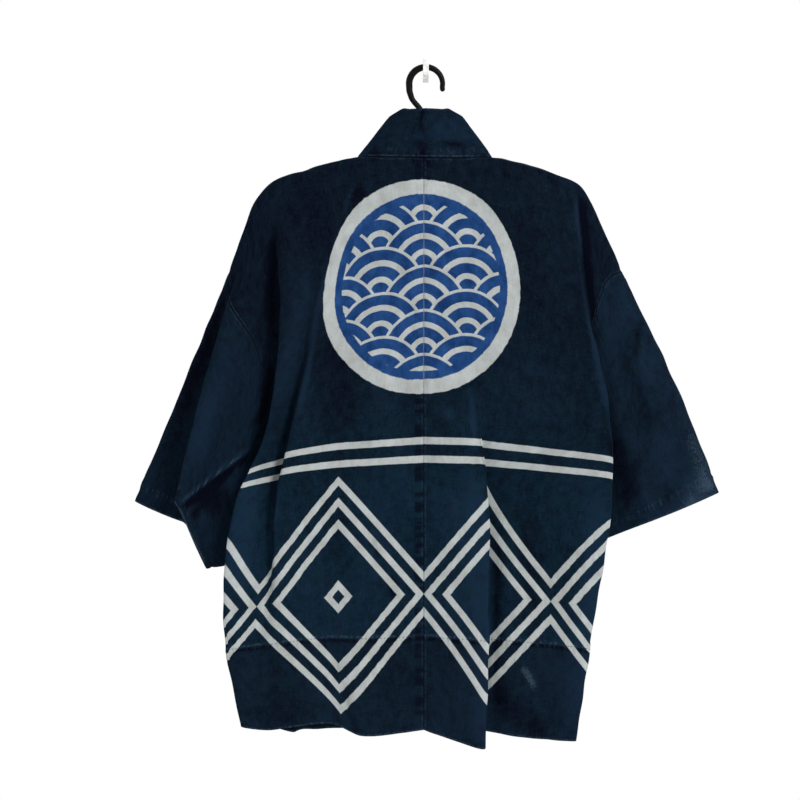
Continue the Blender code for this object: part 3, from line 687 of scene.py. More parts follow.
# A mesh object from points in mm, four-cornered faces and the flat place of each face's corner.
def meshObject(name, points, quads, materials, flat=None, fields=()):
    used, index = np.unique(quads, return_inverse=True)
    quads = index.reshape(quads.shape)
    mesh = bpy.data.meshes.new(name)
    mesh.vertices.add(len(used))
    mesh.vertices.foreach_set("co", (points[used] * mm).astype(np.float32).ravel())
    mesh.loops.add(quads.size)
    mesh.loops.foreach_set("vertex_index", quads.astype(np.int32).ravel())
    mesh.polygons.add(len(quads))
    mesh.polygons.foreach_set("loop_start", np.arange(0, quads.size, quads.shape[1], dtype=np.int32))
    mesh.update(calc_edges=True)
    if flat is not None:
        layer = mesh.uv_layers.new(name="flat")
        layer.data.foreach_set("uv", flat.astype(np.float32).ravel())
    for field, values in fields:
        attribute = mesh.attributes.new(field, "FLOAT", "POINT")
        attribute.data.foreach_set("value", values[used].astype(np.float32))
    for material in materials:
        mesh.materials.append(material)
    mesh.shade_smooth()
    mesh.validate()
    return placed(name, mesh)


# A closed wall: the sheet moved out and in by half its thickness, joined by a rounded rim.
# Sewn rims are first drawn back from the seam.
def clothWall(name, part, materials):
    points, thickness, sewn = workSheet(name, part)
    quads, count = part["quads"], len(points)
    starts = quads.astype(np.int64).ravel()
    ends = np.roll(quads, -1, axis=1).astype(np.int64).ravel()
    alone = ~np.isin(starts * count + ends, ends * count + starts)
    a, b = starts[alone], ends[alone]
    centre = points[quads].mean(axis=1)
    pull = gathered(quads, centre[:, None] - points[quads], count)
    normals = part["normals"]
    pull = unit(pull - normals * (pull * normals).sum(1, keepdims=True))
    rim = np.zeros(count, bool)
    rim[a] = True
    points = points + pull * np.where(rim & sewn, cloth["seamGap"], 0)[:, None]
    normals = np.where(rim[:, None], normals, normalsOf(points, quads, np.arange(count)))
    part["finished"], part["out"] = points, normals
    half = (thickness / 2)[:, None]
    rimOut = points - pull * half * 2 * cloth["rimRound"]
    layers = np.concatenate([points + normals * half, points - normals * half, rimOut])
    middle, inner = 2 * count, count
    faces = [quads, quads[:, ::-1] + inner]
    faces.append(np.stack([b, a, a + middle, b + middle], 1))
    faces.append(np.stack([b + middle, a + middle, a + inner, b + inner], 1))
    flat = part["flat"]
    flatA, flatB = [corners.reshape(-1, 2)[alone] for corners in (flat, np.roll(flat, -1, axis=1))]
    rimFlat = np.stack([flatB, flatA, flatA, flatB], 1)
    flat = np.concatenate([flat, flat[:, ::-1], rimFlat, rimFlat])
    fields = [(field, np.tile(part[field], 3)) for field in ("paintedShadeAndTone", "worn", "seam", "hem")]
    fields.append(("inner", np.repeat((0.0, 1.0, 0.0), count)))
    return meshObject(name + "_cloth", layers, np.concatenate(faces), materials, flat, fields)


# A method that puts one Math node on its own value and the others given.
def mathNode(operation):
    return lambda *values: values[0].finish.node("ShaderNodeMath", {"operation": operation}, *values)


# A number in a shader; arithmetic on it adds Math nodes.
class Value:
    def __init__(self, finish, socket):
        self.finish, self.socket = finish, socket

    __add__ = __radd__ = mathNode("ADD")
    __sub__ = mathNode("SUBTRACT")
    __mul__ = __rmul__ = mathNode("MULTIPLY")
    __truediv__ = mathNode("DIVIDE")
    __pow__ = mathNode("POWER")
    __lt__ = mathNode("LESS_THAN")
    __gt__ = mathNode("GREATER_THAN")
    __abs__ = mathNode("ABSOLUTE")
    floor = mathNode("FLOOR")
    most = mathNode("MAXIMUM")

    def __rsub__(self, other):
        return self.finish.node("ShaderNodeMath", {"operation": "SUBTRACT"}, other, self)

    # 0 below low, 1 above high, a straight ramp between.
    def ramp(self, low, high):
        return self.finish.node("ShaderNodeMapRange", {"clamp": True}, self, low, high, 0.0, 1.0)

    # 0 outside low to high, 1 from rise to fall, straight ramps between.
    def band(self, low, rise, fall, high):
        return self.ramp(low, rise) * (1.0 - self.ramp(fall, high))


# A material or a world whose nodes are added by expressions.
class Finish:
    def __init__(self, owner, surface="Principled BSDF"):
        self.owner = owner
        owner.use_nodes = True
        self.nodes, self.links = owner.node_tree.nodes, owner.node_tree.links
        self.surface = self.nodes[surface]

    def put(self, socket, value):
        if isinstance(value, Value):
            self.links.new(value.socket, socket)
        elif isinstance(value, tuple) and len(value) == 3 and socket.type == "RGBA":
            socket.default_value = (*value, 1)
        elif value is not None:
            socket.default_value = value

    def node(self, kind, settings, *inputs, out=0):
        made = self.nodes.new(kind)
        for key, value in settings.items():
            setattr(made, key, value)
        for socket, value in zip(made.inputs, inputs):
            self.put(socket, value)
        return Value(self, made.outputs[out])

    def mix(self, share, first, second):
        settings = {"data_type": "RGBA", "clamp_factor": True}
        skipped = (None,) * 5
        return self.node("ShaderNodeMix", settings, share, *skipped, first, second, out=2)

    # The x, y and z of a vector.
    def parts(self, vector):
        split = self.node("ShaderNodeSeparateXYZ", {}, vector).socket.node
        return [Value(self, output) for output in split.outputs]

    def noise(self, place, size, detail, rough):
        return self.node("ShaderNodeTexNoise", {}, place, None, 1 / size, detail, rough)

    # Noise stretched across and down the cloth, by its row in clouds.
    def cloud(self, kind, u, v):
        across, down, layer, detail, rough = clouds[kind]
        place = self.node("ShaderNodeCombineXYZ", {}, u / across, v / down, layer)
        return self.noise(place, 1.0, detail, rough)

    # Several clouds added up, each times its share.
    def cloudSum(self, shares, u, v):
        return sum(self.cloud(kind, u, v) * share for kind, share in shares.items())

    def bump(self, height, distance, strength, below=None):
        return self.node("ShaderNodeBump", {}, strength, distance, None, height, below)

    def give(self, **inputs):
        for key, value in inputs.items():
            self.put(self.surface.inputs[key.replace("_", " ")], value)
        return self.owner


clouds = {  # size across and down in mm, layer, detail, roughness
    "warp": (1.3, 14.0, 0.0, 2.0, 0.5), "weft": (12.0, 1.3, 7.0, 2.0, 0.5),
    "crumple": (15.0, 21.0, 3.0, 3.0, 0.55), "soft": (52.0, 80.0, 5.0, 2.0, 0.5),
    "streaks": (9.0, 90.0, 9.0, 2.0, 0.5), "puckers": (5.5, 40.0, 15.0, 1.0, 0.5),
    "broad": (85.0, 130.0, 11.0, 3.0, 0.5), "blotches": (12.0, 16.0, 12.0, 4.0, 0.6),
    "flecks": (3.6, 4.6, 13.0, 3.0, 0.65), "wobble": (9.0, 9.0, 17.0, 2.0, 0.5),
    "patches": (18.0, 24.0, 31.0, 3.0, 0.6), "grain": (3.2, 3.6, 33.0, 2.0, 0.6),
    "rub": (5.0, 5.0, 35.0, 2.0, 0.6), "scrape": (2.0, 3.4, 37.0, 3.0, 0.7),
    "ladder": (46.0, 13.0, 41.0, 1.5, 0.45),
}
weave = {
    "coarse": {"crumple": 1.3, "soft": 3.2, "streaks": 1.3}, "puckers": 2.4, "puckerReach": (2.0, 20.0),
    "coarseBump": (0.001, 1.0), "fineBump": (0.0005, 0.6),  # metres for a height of one, strength
}
dye = {
    # dark and light are the dye's deepest and palest colours; the painted shade and painted highlight strokes
    # reach them too, and dark also paints the shade beside sewn lines and in seam grooves.
    "middle": (0.0029, 0.0112, 0.0212), "light": (0.0066, 0.0198, 0.0410), "dark": (0.0013, 0.0020, 0.0060),
    "plum": (0.0048, 0.0052, 0.0130), "strip": (0.0016, 0.0030, 0.0085), "teal": (0.0040, 0.0165, 0.0205),
    "worn": (0.0300, 0.0520, 0.0800), "paste": (0.450, 0.485, 0.490), "pasteStain": (0.33, 0.35, 0.34),
    "blue": (0.0062, 0.0285, 0.106), "blueWorn": (0.021, 0.072, 0.220),
    "roughness": 0.86, "shine": 0.02, "sheen": (0.05, 0.5, (0.25, 0.45, 0.75, 1)),  # weight, roughness, tint
    "thread": ((0.007, 0.018, 0.034), 0.8, 0.1),  # colour, roughness, shine
}
depths = {  # what makes the dye deeper or lighter, and the ramps over its depth about 0.5
    "shares": {"broad": 0.17, "blotches": 0.27, "flecks": 0.20}, "weave": 0.18, "paintedShadeAndTone": 0.19,
    "lightFrom": (0.49, 0.63), "darkBelow": (0.35, 0.50), "stainAndShade": (0.38, 0.64),
    "lighterDownSpan": (0.0, 620.0), "lighterDown": 0.088, "hemFrom": 128.0, "hemDarker": 0.016,
    "teal": (0.51, 0.68), "tealShare": 0.42, "plum": (0.32, 0.48), "plumShare": 0.34,
    "plumTop": (180.0, 460.0), "plumTopShare": 0.36, "plumHemShare": 0.28,
    "shadePlum": (0.15, 1.0), "shadePlumShare": 0.5,
}
kinds = {  # sewn line above the edge, depth added, plum, rub on seams, on edges and on puckers
    "body": (130, -0.060, 0, 0.32, 0.7, 0.2),
    "sleeve": (22, 0.010, 0.30, 0.32, 0.7, 0.34),
    "collar": (62, -0.018, 0.24, 0.8, 0.3, 0.2),
}
wear = {  # bands and ramps over mm from the seam or the hem, ramps over noise, and strengths
    "seam": (1.0, 1.8, 2.6, 4.2), "edge": (0.6, 3.0), "lineRub": (0.38, 0.60),
    "bodyPale": ((130.0, 131.5, 132.0, 135.5), (0.42, 0.62), 0.75),
    # The dark bands along the sewn hem and cuff lines are painted shade of the turned edge.
    "bodyDark": ((122.5, 126.0, 128.5, 130.5), (0.30, 0.46), 0.9),
    "sleeveDark": ((18.0, 21.0, 22.0, 25.0), (0.35, 0.55), 0.6),
    # The darkening in the seam groove is painted shade.
    "groove": (0.2, 1.3), "grooveDark": 0.5, "grooveCrack": 0.35,
    "puckers": (0.44, 0.62), "puckerRub": (0.34, 0.58),
    "bare": 0.24, "bareBelow": 0.64, "bareRamp": (0.0, 0.26), "bareEdge": (0.05, 0.7), "bareMost": 0.9,
    "stripEdge": (-14.0, -11.5), "strip": (0.45, 0.57), "stripDark": 0.85,
    "backFrom": -0.046, "reverse": 0.75, "grain": (0.16, 0.30), "grainLoss": 0.06,
}
roundel = {
    "down": 181.0, "half": 150, "right": 136, "left": 148, "narrowing": 0.06, "ring": 20, "margin": 12,
    "wave": 62.0, "step": 22.0, "white": 8, "soft": 0.6, "waveSoft": 0.5, "wobble": 0.4,
}
border = {  # rows of linked lozenges one in another, under two rails; "edges" are mm out from the lozenge
    "repeat": 240.0, "down": 612.0, "line": 8.5, "rails": ((392, 402), (418, 428)),
    "half": (120, 140), "edges": (-76.0, -20.0, 0.0, 20.0), "soft": 0.5, "wobble": 0.55, "railWobble": 0.35,
    "unsteady": 3.2,  # how far the printer's hand strays in all, in mm
}


# Slubs, crumple and streaks: noise drawn out along the warp and the weft, and rounder noise under
# them; short puckers stand across the line sewn at a given depth from the hem.
def clothBump(finish, u, v, hem, sewn, turned):
    warp, weft = finish.cloud("warp", u, v), finish.cloud("weft", u, v)
    along, across = (v, u) if turned else (u, v)
    near = 1.0 - abs(hem - float(sewn)).ramp(*weave["puckerReach"])
    puckered = finish.cloud("puckers", along, across) * near
    height = finish.cloudSum(weave["coarse"], u, v) + puckered * weave["puckers"]
    coarse = finish.bump(height, *weave["coarseBump"])
    return finish.bump(warp + weft, *weave["fineBump"], coarse), warp + weft, puckered


# Depth of the waves at a place: rows of rings, each row half hidden by the next one down.
def waveDepth(finish, u, v):
    radius = roundel["wave"]
    row = (v / (radius / 2)).floor()
    depth = None
    for k in (-2.0, -1.0, 0.0, 1.0, 2.0):
        number = row + k
        odd = number - (number / 2.0).floor() * 2.0
        x = u / (2 * radius) + odd * 0.5
        x = (x - (x + 0.5).floor()) * (2 * radius)
        y = v - (number + 1.0) * (radius / 2)
        away = (x * x + y * y) ** 0.5
        depth = away if depth is None else depth + (away - depth) * (away < radius)
    return depth


# The roundel: a ring round a blue field of waves. Share of white, share of blue.
def roundelPrint(finish, u, v, wobble, back):
    soft, half = roundel["soft"], roundel["half"]
    y = (v - roundel["down"]) / half
    across = (u > 0.0) * (roundel["right"] - roundel["left"]) + roundel["left"]
    x = u / (across * (1.0 - y * roundel["narrowing"]))
    out = ((x * x + y * y) ** 0.5) * half + wobble
    disc, field, inner = [
        (edge - out).ramp(-soft, soft)
        for edge in (half, half - roundel["ring"], half - roundel["ring"] - roundel["margin"])
    ]
    strayed = wobble * roundel["wobble"]
    step = roundel["step"]
    band = waveDepth(finish, u + strayed, v - roundel["down"] + strayed) / step
    band = (band - band.floor()) * step
    waves = (band - (step - roundel["white"])).ramp(-roundel["waveSoft"], roundel["waveSoft"]) * inner
    return disc * back, field * back * (1.0 - waves)


# The lines round the skirt, as a share of white: rails at set depths, and lozenges where the slant
# distance (across x high + down x wide) / hypot is at one of their edges.
def borderPrint(u, v, wobble):
    soft, repeat = border["soft"], border["repeat"]
    across = u / repeat
    across = abs((across - across.floor() - 0.5) * repeat + wobble * border["wobble"])
    down = abs(v + wobble * border["wobble"] - border["down"])
    wide, high = border["half"]
    out = (across * high + down * wide - wide * high) / math.hypot(wide, high)
    half = border["line"] / 2
    strokes = [(half - abs(out - edge + half)).ramp(-soft, soft) for edge in border["edges"]]
    v = v + wobble * border["railWobble"]
    for low, high in border["rails"]:
        strokes.append(((high - low) / 2 - abs(v - (low + high) / 2)).ramp(-soft, soft))
    line = strokes[0]
    for stroke in strokes[1:]:
        line = line.most(stroke)
    return line


# Along a sewn line: a band over the distance from the hem, broken up by noise.
def sewnLine(hem, rub, band, broken, most):
    return hem.band(*band) * rub.ramp(*broken) * most


# Dyed cotton. The dye's depth picks dark, middle or light, and the painted shade and painted highlight
# strokes push it deeper or lighter;
# teal and plum come in broad patches, and plum also tints the painted shade; sewn lines and hems are rubbed
# pale on their ridges, with painted shade in a dark band beside them and in the seam grooves; prints lie on
# top.
def cottonFinish(name, kind):
    finish = Finish(bpy.data.materials.new(name))
    u, v, _ = finish.parts(finish.node("ShaderNodeUVMap", {"uv_map": "flat"}))
    u, v = u / mm, v / mm
    paintedShadeAndTone, bare, seam, hem, inner = [
        finish.node("ShaderNodeAttribute", {"attribute_name": field}, out=2)
        for field in ("paintedShadeAndTone", "worn", "seam", "hem", "inner")
    ]
    patches, grain, rub, scrape = [finish.cloud(k, u, v) for k in ("patches", "grain", "rub", "scrape")]
    sewn, deeper, plum, seamRub, edgeRub, puckerRub = kinds[kind]
    normal, threads, puckered = clothBump(finish, u, v, hem, sewn, kind == "collar")

    depth = finish.cloudSum(depths["shares"], u, v) + threads * depths["weave"]
    # Painted shade and painted highlights from the stroke tables deepen or lighten the dye here, with the few
    # real patches among them.
    depth = depth + paintedShadeAndTone * depths["paintedShadeAndTone"] + deeper
    if kind == "body":
        turned = hem < depths["hemFrom"]
        # The body is made lighter from the shoulder down over the given span.
        depth = depth + v.ramp(*depths["lighterDownSpan"]) * depths["lighterDown"] - turned * depths["hemDarker"]
        plum = (1.0 - v.ramp(*depths["plumTop"])) * depths["plumTopShare"] + turned * depths["plumHemShare"]
    colour = finish.mix(depth.ramp(*depths["lightFrom"]), dye["middle"], dye["light"])
    # The last plum layer tints the painted shade plum.
    layers = (
        (patches.ramp(*depths["teal"]) * depths["tealShare"], "teal"),
        ((1.0 - patches.ramp(*depths["plum"])) * depths["plumShare"], "plum"),
        (plum, "plum"),
        ((0.0 - paintedShadeAndTone).ramp(*depths["shadePlum"]) * depths["shadePlumShare"], "plum"),
    )
    for share, tint in layers:
        colour = finish.mix(share, colour, dye[tint])
    colour = finish.mix(depth.ramp(*depths["darkBelow"]), dye["dark"], colour)

    ridge = seam.band(*wear["seam"]) * (1.0 + bare).ramp(0.0, 1.0)  # less than no wear hides a ridge
    worn = (ridge * seamRub).most((1.0 - hem.ramp(*wear["edge"])) * edgeRub) * rub.ramp(*wear["lineRub"])
    if kind == "body":
        worn = worn.most(sewnLine(hem, rub, *wear["bodyPale"]))
    if kind != "collar":
        # Painted shade: a dark band along the sewn hem or cuff line.
        colour = finish.mix(sewnLine(hem, rub, *wear[kind + "Dark"]), colour, dye["dark"])
    groove = 1.0 - seam.ramp(*wear["groove"])
    # Painted shade in the seam groove.
    colour = finish.mix(groove * wear["grooveDark"], colour, dye["dark"])
    worn = worn.most(puckered.ramp(*wear["puckers"]) * rub.ramp(*wear["puckerRub"]) * puckerRub)
    scraped = (bare * wear["bare"] + scrape - wear["bareBelow"]).ramp(*wear["bareRamp"])
    worn = worn.most(scraped * bare.ramp(*wear["bareEdge"]) * wear["bareMost"])
    colour = finish.mix(worn, colour, dye["worn"])

    if kind == "body":
        place = finish.parts(finish.node("ShaderNodeTexCoord", {}, out=3))
        back = place[1] < wear["backFrom"]
        strip = back * (u < 0.0) * u.ramp(*wear["stripEdge"])
        ladder = finish.cloud("ladder", u, v).ramp(*wear["strip"])
        colour = finish.mix(strip * ladder * wear["stripDark"], colour, dye["strip"])
        wobble = (finish.cloud("wobble", u, v) - 0.5) * border["unsteady"]
        disc, blue = roundelPrint(finish, u, v, wobble, back)
        shows = (1.0 - inner * wear["reverse"]) * (1.0 - groove * wear["grooveCrack"])
        whole = 1.0 - (1.0 - grain.ramp(*wear["grain"])) * wear["grainLoss"]
        white = disc.most(borderPrint(u, v, wobble)) * whole * shows
        # The print's stain follows the dye's depth, so the painted shade and painted highlights darken and
        # lighten the print as well as real stains.
        stainAndShade = (depth * 0.5 + patches * 0.5).ramp(*depths["stainAndShade"])
        colour = finish.mix(white, colour, finish.mix(stainAndShade, dye["pasteStain"], dye["paste"]))
        colour = finish.mix(blue * shows, colour, finish.mix(stainAndShade, dye["blue"], dye["blueWorn"]))
    sheen, sheenRough, sheenTint = dye["sheen"]
    return finish.give(
        Base_Color=colour, Normal=normal, Roughness=dye["roughness"], Specular_IOR_Level=dye["shine"],
        Sheen_Weight=sheen, Sheen_Roughness=sheenRough, Sheen_Tint=sheenTint,
    )


moulded = {  # mean colour, roughness, shine
    "black plastic": ((0.003, 0.003, 0.003), 0.45, 0.08),
    "white plastic": ((0.78, 0.78, 0.75), 0.35, 0.5),
    "grain": (0.0011, 2.0, 0.6), "blot": (0.009, 3.0, 0.6),  # size in m, detail, roughness
    "uneven": 0.22, "tintBlot": 0.6, "tintRamp": (0.35, 0.65),  # how far the colour strays, by which noise
    "roughSpan": 0.3, "roughBlot": 0.7, "relief": (0.0001, 0.5),  # depth in m, strength
}


# Dull moulded plastic: noise of two sizes varies colour and roughness about their means, and the
# finer one roughens the surface.
def mouldedFinish(name):
    colour, roughness, shine = moulded[name]
    finish = Finish(bpy.data.materials.new(name))
    place = finish.node("ShaderNodeTexCoord", {}, out=3)
    grain, blot = [finish.noise(place, *moulded[kind]) for kind in ("grain", "blot")]
    tint, rough = [
        blot * share + grain * (1.0 - share) for share in (moulded["tintBlot"], moulded["roughBlot"])
    ]
    tints = [tuple(c * (1 + sign * moulded["uneven"]) for c in colour) for sign in (-1, 1)]
    return finish.give(
        Base_Color=finish.mix(tint.ramp(*moulded["tintRamp"]), *tints),
        Roughness=(rough - 0.5) * moulded["roughSpan"] + roughness,
        Normal=finish.bump(grain, *moulded["relief"]), Specular_IOR_Level=shine,
    )


finishes = {
    "body": cottonFinish("printed cotton", "body"),
    "sleeve": cottonFinish("indigo cotton", "sleeve"),
    "collar": cottonFinish("collar cotton", "collar"),
}
threadColour, threadRough, threadShine = dye["thread"]
threadCotton = Finish(bpy.data.materials.new("thread")).give(
    Base_Color=threadColour, Roughness=threadRough, Specular_IOR_Level=threadShine
)
blackPlastic = mouldedFinish("black plastic")
whitePlastic = mouldedFinish("white plastic")
print("materials made")

pieces = {}
for name, part in sheets.items():
    kind = name.split("_")[0]
    piece = clothWall(name, part, [finishes[kind]])
    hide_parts(name)
    "collar_cotton" if kind == "collar" else "indigo_cotton"
    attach(piece, "root")
    pieces[name] = piece
print("cloth made")


# Round tubes: a ring about each centre, (across cos + up sin) x radius, joined to the next ring.
def tubes(centre, across, up, radius, sides):
    turn = np.arange(sides) / sides * wholeCircle
    ring = np.cos(turn)[:, None] * across[..., None, :] + np.sin(turn)[:, None] * up[..., None, :]
    points = centre[..., None, :] + ring * radius[..., None, None]
    index = np.arange(points[..., 0].size).reshape(points.shape[:-1])
    after = np.roll(index, -1, axis=-1)
    quads = np.stack([index[..., :-1, :], index[..., 1:, :], after[..., 1:, :], after[..., :-1, :]], -1)
    return points.reshape(-1, 3), quads.reshape(-1, 4)


# A round rod along a path, its section turned with the path, its ends closed by half balls.
def rodMesh(path, radius, sides=28, caps=7):
    path = np.asarray(path, float)
    tangent = unit(np.gradient(path, axis=0))
    across = unit(np.cross(tangent, (0, 1.0, 0)))
    up = np.cross(across, tangent)
    radius = np.broadcast_to(radius, len(path))
    tip = np.linspace(0, math.pi / 2, caps + 1)[1:]
    first = np.zeros(caps, int)
    order = np.concatenate([first, np.arange(len(path)), first - 1])
    beyond = np.concatenate([-np.sin(tip[::-1]), np.zeros(len(path)), np.sin(tip)])
    share = np.concatenate([np.cos(tip[::-1]), np.ones(len(path)), np.cos(tip)])
    path, tangent, across, up, radius = [field[order] for field in (path, tangent, across, up, radius)]
    return tubes(path + tangent * (radius * beyond)[:, None], across, up, radius * share, sides)


# Several point and face arrays as one.
def joined(parts):
    points, quads = zip(*parts)
    starts = np.cumsum([0] + [len(each) for each in points])
    return np.concatenate(points), np.concatenate([q + start for q, start in zip(quads, starts)])


hanger = {
    "y": -45, "rod": 10, "under": 6.15, "endX": 190, "peak": -129,  # the arms lie this far under the fold
    "bend": 23.5, "centre": -21, "tip": -10, "end": (23.4, -28.5),  # the hook's half circle, tip as (x, z)
    "shank": ((-23.5, -30), (-19, -43), (-8, -57), (-2, -72), (0, -92), (0, -124)),
    "hookRod": (  # share of the way from the tip to the arms, rod there
        (0, 7.2), (0.12, 7.8), (0.32, 10.0), (0.46, 9.4), (0.56, 7.8), (0.66, 8.0), (0.8, 9.6), (1, 9.6),
    ),
    "armSteps": 4, "tipSteps": 6, "bendSteps": 60, "shankSteps": 10,
}


# The arms: a smooth line under both shoulder folds. The hook: a straight tip, a half circle and the
# shank, smooth down to the arms.
def makeHanger():
    arms = []
    for side in ("left", "right"):
        grid, _, first = bodies[side]
        fold = grid[len(grid) // 2, first:]
        kept = fold[np.abs(fold[:, 0]) < hanger["endX"]][:: cut["fine"]]
        arms.append(kept - (0, 0, hanger["under"]))
    arm = np.concatenate([arms[0][::-1], [(0, hanger["y"], hanger["peak"])], arms[1]])
    arm[:, 1] = hanger["y"]
    arm = smooth(arm, [hanger["armSteps"]] * (len(arm) - 1))
    turn = np.radians(np.linspace(hanger["tip"], 180, hanger["bendSteps"]))
    bend = np.stack([np.cos(turn), np.sin(turn)], 1) * hanger["bend"] + (0, hanger["centre"])
    shank = smooth(hanger["shank"], [hanger["shankSteps"]] * (len(hanger["shank"]) - 1))
    tip = np.linspace(hanger["end"], bend[0], hanger["tipSteps"])
    hook = np.concatenate([tip[:-1], bend, shank[1:]])
    hook = np.insert(hook, 1, hanger["y"], axis=1)
    run = runLength(hook)
    hookRod = np.interp(run / run[-1], *np.transpose(hanger["hookRod"]))
    rods = joined([rodMesh(arm, hanger["rod"] / 2), rodMesh(hook, hookRod / 2)])
    return meshObject("hanger_smooth", *rods, [blackPlastic])


hangerPiece = makeHanger()
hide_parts("hanger")
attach(hangerPiece, "root")
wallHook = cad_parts["wall_hook"]
for place in wallHook.material_slots:
    place.material = whitePlastic
print("hanger made")


# A line on a sheet's outer face, along one row or down one column at a fractional place.
def sheetLine(part, row=None, column=None, rise=0.0):
    points, out = part["finished"][part["index"]], part["out"][part["index"]]
    if row is None:
        points, out, row = points.transpose(1, 0, 2), out.transpose(1, 0, 2), column
    low = int(min(row, len(points) - 2))
    share = row - low
    points = points[low] * (1 - share) + points[low + 1] * share
    out = unit(out[low] * (1 - share) + out[low + 1] * share)
    return points + out * rise, out


stitches = {  # pitch, length, thread across, in mm
    "hem": (5.2, 2.9, 0.62), "cuff": (3.4, 2.2, 0.55), "collar": (4.0, 2.7, 0.6),
    "pitchStray": 0.07, "lengthStray": (0.85, 1.12), "sideStray": 0.12,
    "arch": 0.9, "sunk": 0.5, "profile": (0.35, 0.95, 1.0, 0.95, 0.35), "sides": 6,  # shares of the thread
    "cuffRise": 0.1, "collarIn": 2.4, "collarRise": 0.95,
    "seeds": {"behind": 21, "before": 22, "cuff": 24, "collar": 25},
    "frayed": ((-13, -133), (11, 2), 8, 26),  # place, spread, count, seed
    "curl": 0.36, "curlSteps": 6, "step": (1.0, 2.2), "frayedRadius": 0.17, "frayedRise": 0.15,
    "backOnly": 9,  # what facing front adds to a squared distance in the search for the nearest cloth
}


# A row of stitches on a line: each a short thread that dips into the cloth at both ends.
def stitchRow(line, out, pitch, length, thread, seed):
    chance = np.random.default_rng(seed)
    run = runLength(line)
    count = int((run[-1] - 2) / pitch)
    middle = (np.arange(count) + 0.5) * pitch + chance.normal(0, stitches["pitchStray"] * pitch, count) + 1
    reach = length / 2 * chance.uniform(*stitches["lengthStray"], count)
    share = np.linspace(-1, 1, len(stitches["profile"]))
    at = middle[:, None] + reach[:, None] * share
    centre, up = [
        np.stack([np.interp(at, run, field[:, k]) for k in range(3)], -1) for field in (line, out)
    ]
    up = unit(up)
    aside = np.cross(unit(np.gradient(centre, axis=1)), up)
    rise = thread * (stitches["arch"] * (1 - share**2) - stitches["sunk"])
    centre = centre + up * rise[None, :, None]
    centre = centre + aside * chance.normal(0, stitches["sideStray"], (count, 1, 1))
    width = np.broadcast_to(thread / 2 * np.array(stitches["profile"]), at.shape)
    return tubes(centre, aside, up, width, stitches["sides"])


# The row or column, with a fraction, where a rising measure passes a value.
def placeOf(measure, value):
    return float(np.interp(value, measure, np.arange(len(measure))))


# Loose threads at a frayed place: short curved rods lying on the outer face behind, about a point.
def looseThreads(part, centre, spread, count, seed):
    chance = np.random.default_rng(seed)
    made = []
    points, out = part["finished"], part["out"]
    steps, backOnly = stitches["curlSteps"], stitches["backOnly"]
    for _ in range(count):
        start = np.array(centre) + chance.normal(0, 1, 2) * spread
        turn = chance.uniform(0, wholeCircle)
        bend = chance.normal(0, stitches["curl"], steps).cumsum()
        ahead = np.stack([np.cos(turn + bend), np.sin(turn + bend)], 1) * chance.uniform(*stitches["step"])
        places = start + np.cumsum(ahead, axis=0)
        away = ((points[:, [0, 2]] - places[:, None]) ** 2).sum(-1)
        nearest = np.argmin(away + backOnly * (out[:, 1] > 0), axis=1)
        lifted = points[nearest] + out[nearest] * (cloth["single"] / 2 + stitches["frayedRise"])
        path = np.stack([places[:, 0], lifted[:, 1], places[:, 1]], 1)
        made.append(rodMesh(smooth(path, [2] * (steps - 1)), stitches["frayedRadius"], sides=6, caps=2))
    return made


# A piece's rows of stitches: along the hem behind and before, round the cuff, or down the band.
def makeStitches(name):
    part = sheets[name]
    u, v = (part["flatGrid"] / mm).transpose(2, 0, 1)
    found = []
    if name.startswith("body"):
        top, first = len(v) // 2, bodies[name[5:]][2]
        rise = cloth["turned"] / 2
        down = placeOf(v[top:, 0], v[-1, 0] - cloth["hemDepth"]) + top
        found.append((sheetLine(part, row=down, rise=rise), "hem", "behind"))
        down = top - placeOf(v[top::-1, 0], v[0, 0] - cloth["hemDepth"])
        line, out = sheetLine(part, row=down, rise=rise)
        found.append(((line[first + 2 :], out[first + 2 :]), "hem", "before"))
    elif name.startswith("sleeve"):
        down = placeOf(v[:, 0], v[-1, 0] - cloth["cuffDepth"])
        rise = cloth["single"] / 2 + stitches["cuffRise"]
        found.append((sheetLine(part, row=down, rise=rise), "cuff", "cuff"))
    else:
        column = placeOf(u[len(u) // 2], stitches["collarIn"])
        found.append((sheetLine(part, column=column, rise=stitches["collarRise"]), "collar", "collar"))
    seeds = stitches["seeds"]
    rowsMade = [stitchRow(line, out, *stitches[kind], seeds[at]) for (line, out), kind, at in found]
    if name == "body_left":
        rowsMade += looseThreads(part, *stitches["frayed"])
    piece = meshObject(name + "_stitches", *joined(rowsMade), [threadCotton])
    "collar_cotton" if name == "collar" else "indigo_cotton"
    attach(piece, "root")
    return piece


for name, piece in pieces.items():
    sewing = makeStitches(name)
print("stitches made")

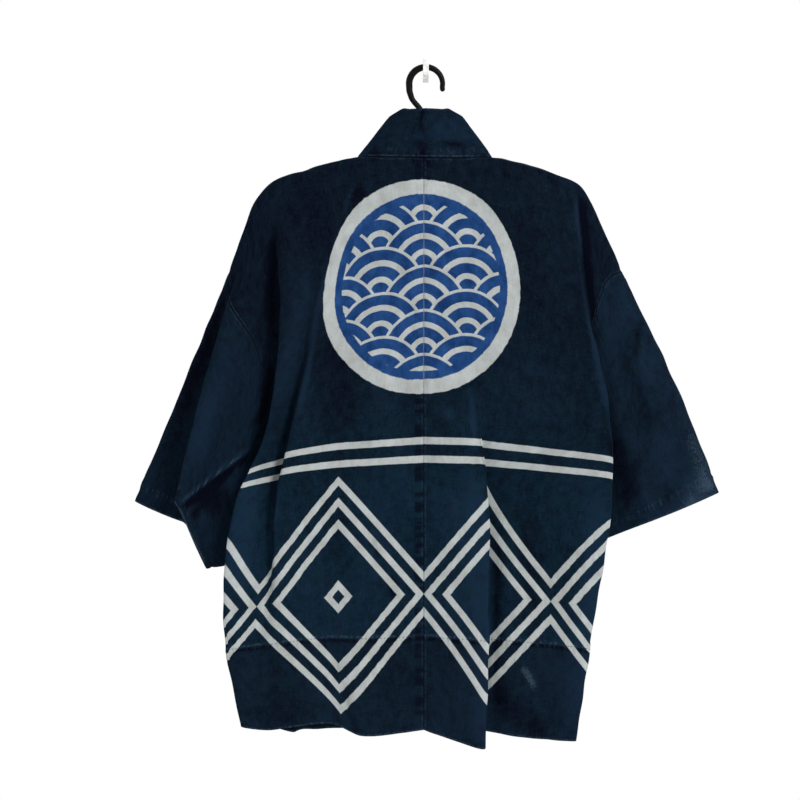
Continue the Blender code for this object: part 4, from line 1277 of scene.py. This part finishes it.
studio = {
    "floorRadius": 2200, "floorDown": 1500, "floorSides": 96, "floor": ((0.8, 0.8, 0.8), 0.9),
    "behindCamera": 0.42, "skyRamp": (-0.5, 0.35),  # how bright the room is behind the camera, beside white
    "aim": (0, -0.05, -0.5),  # where the lights point, in m
    "camera": (-0.0364, -3.665, -0.4662), "lens": 115.7, "sensor": 36,
}
lights = {  # place, watts, size in m
    "key": ((1.9, -2.4, 1.5), 100, 1.1),
    "fill": ((-2.2, -2.4, 0.3), 14, 1.6),
    "rim": ((-0.4, 1.8, 1.0), 20, 1.2),
}
turn = np.arange(studio["floorSides"]) / studio["floorSides"] * wholeCircle
disc = np.stack([np.cos(turn), np.sin(turn)], 1) * studio["floorRadius"]
disc = np.insert(disc, 2, -studio["floorDown"], axis=1)
floorColour, floorRough = studio["floor"]
paleFloor = Finish(bpy.data.materials.new("pale floor")).give(Base_Color=floorColour, Roughness=floorRough)
floor = meshObject("floor", disc, np.arange(len(disc))[None], [paleFloor])

# A white room: the world's strength ramps with the view's y, from its value behind the camera to 1.
sky = Finish(bpy.data.worlds.new("studio"), "Background")
ahead = sky.parts(sky.node("ShaderNodeTexCoord", {}))[1].ramp(*studio["skyRamp"])
bright = ahead * (1.0 - studio["behindCamera"]) + studio["behindCamera"]
bpy.context.scene.world = sky.give(Color=(1.0, 1.0, 1.0), Strength=bright)
for name, (place, power, size) in lights.items():
    light = bpy.data.lights.new(name, "AREA")
    light.energy, light.size = power, size
    lamp = placed(name, light)
    lamp.location = place
    aim = np.subtract(studio["aim"], place)
    lamp.rotation_euler = (math.atan2(math.hypot(*aim[:2]), -aim[2]), 0, math.atan2(-aim[0], aim[1]))

cameraData = bpy.data.cameras.new("camera")
cameraData.sensor_width, cameraData.lens = studio["sensor"], studio["lens"]
camera = placed("camera", cameraData)
camera.location = studio["camera"]
camera.rotation_euler = (math.pi / 2, 0, 0)
bpy.context.scene.camera = camera
bpy.context.scene.view_settings.view_transform = "Standard"
print("room made")
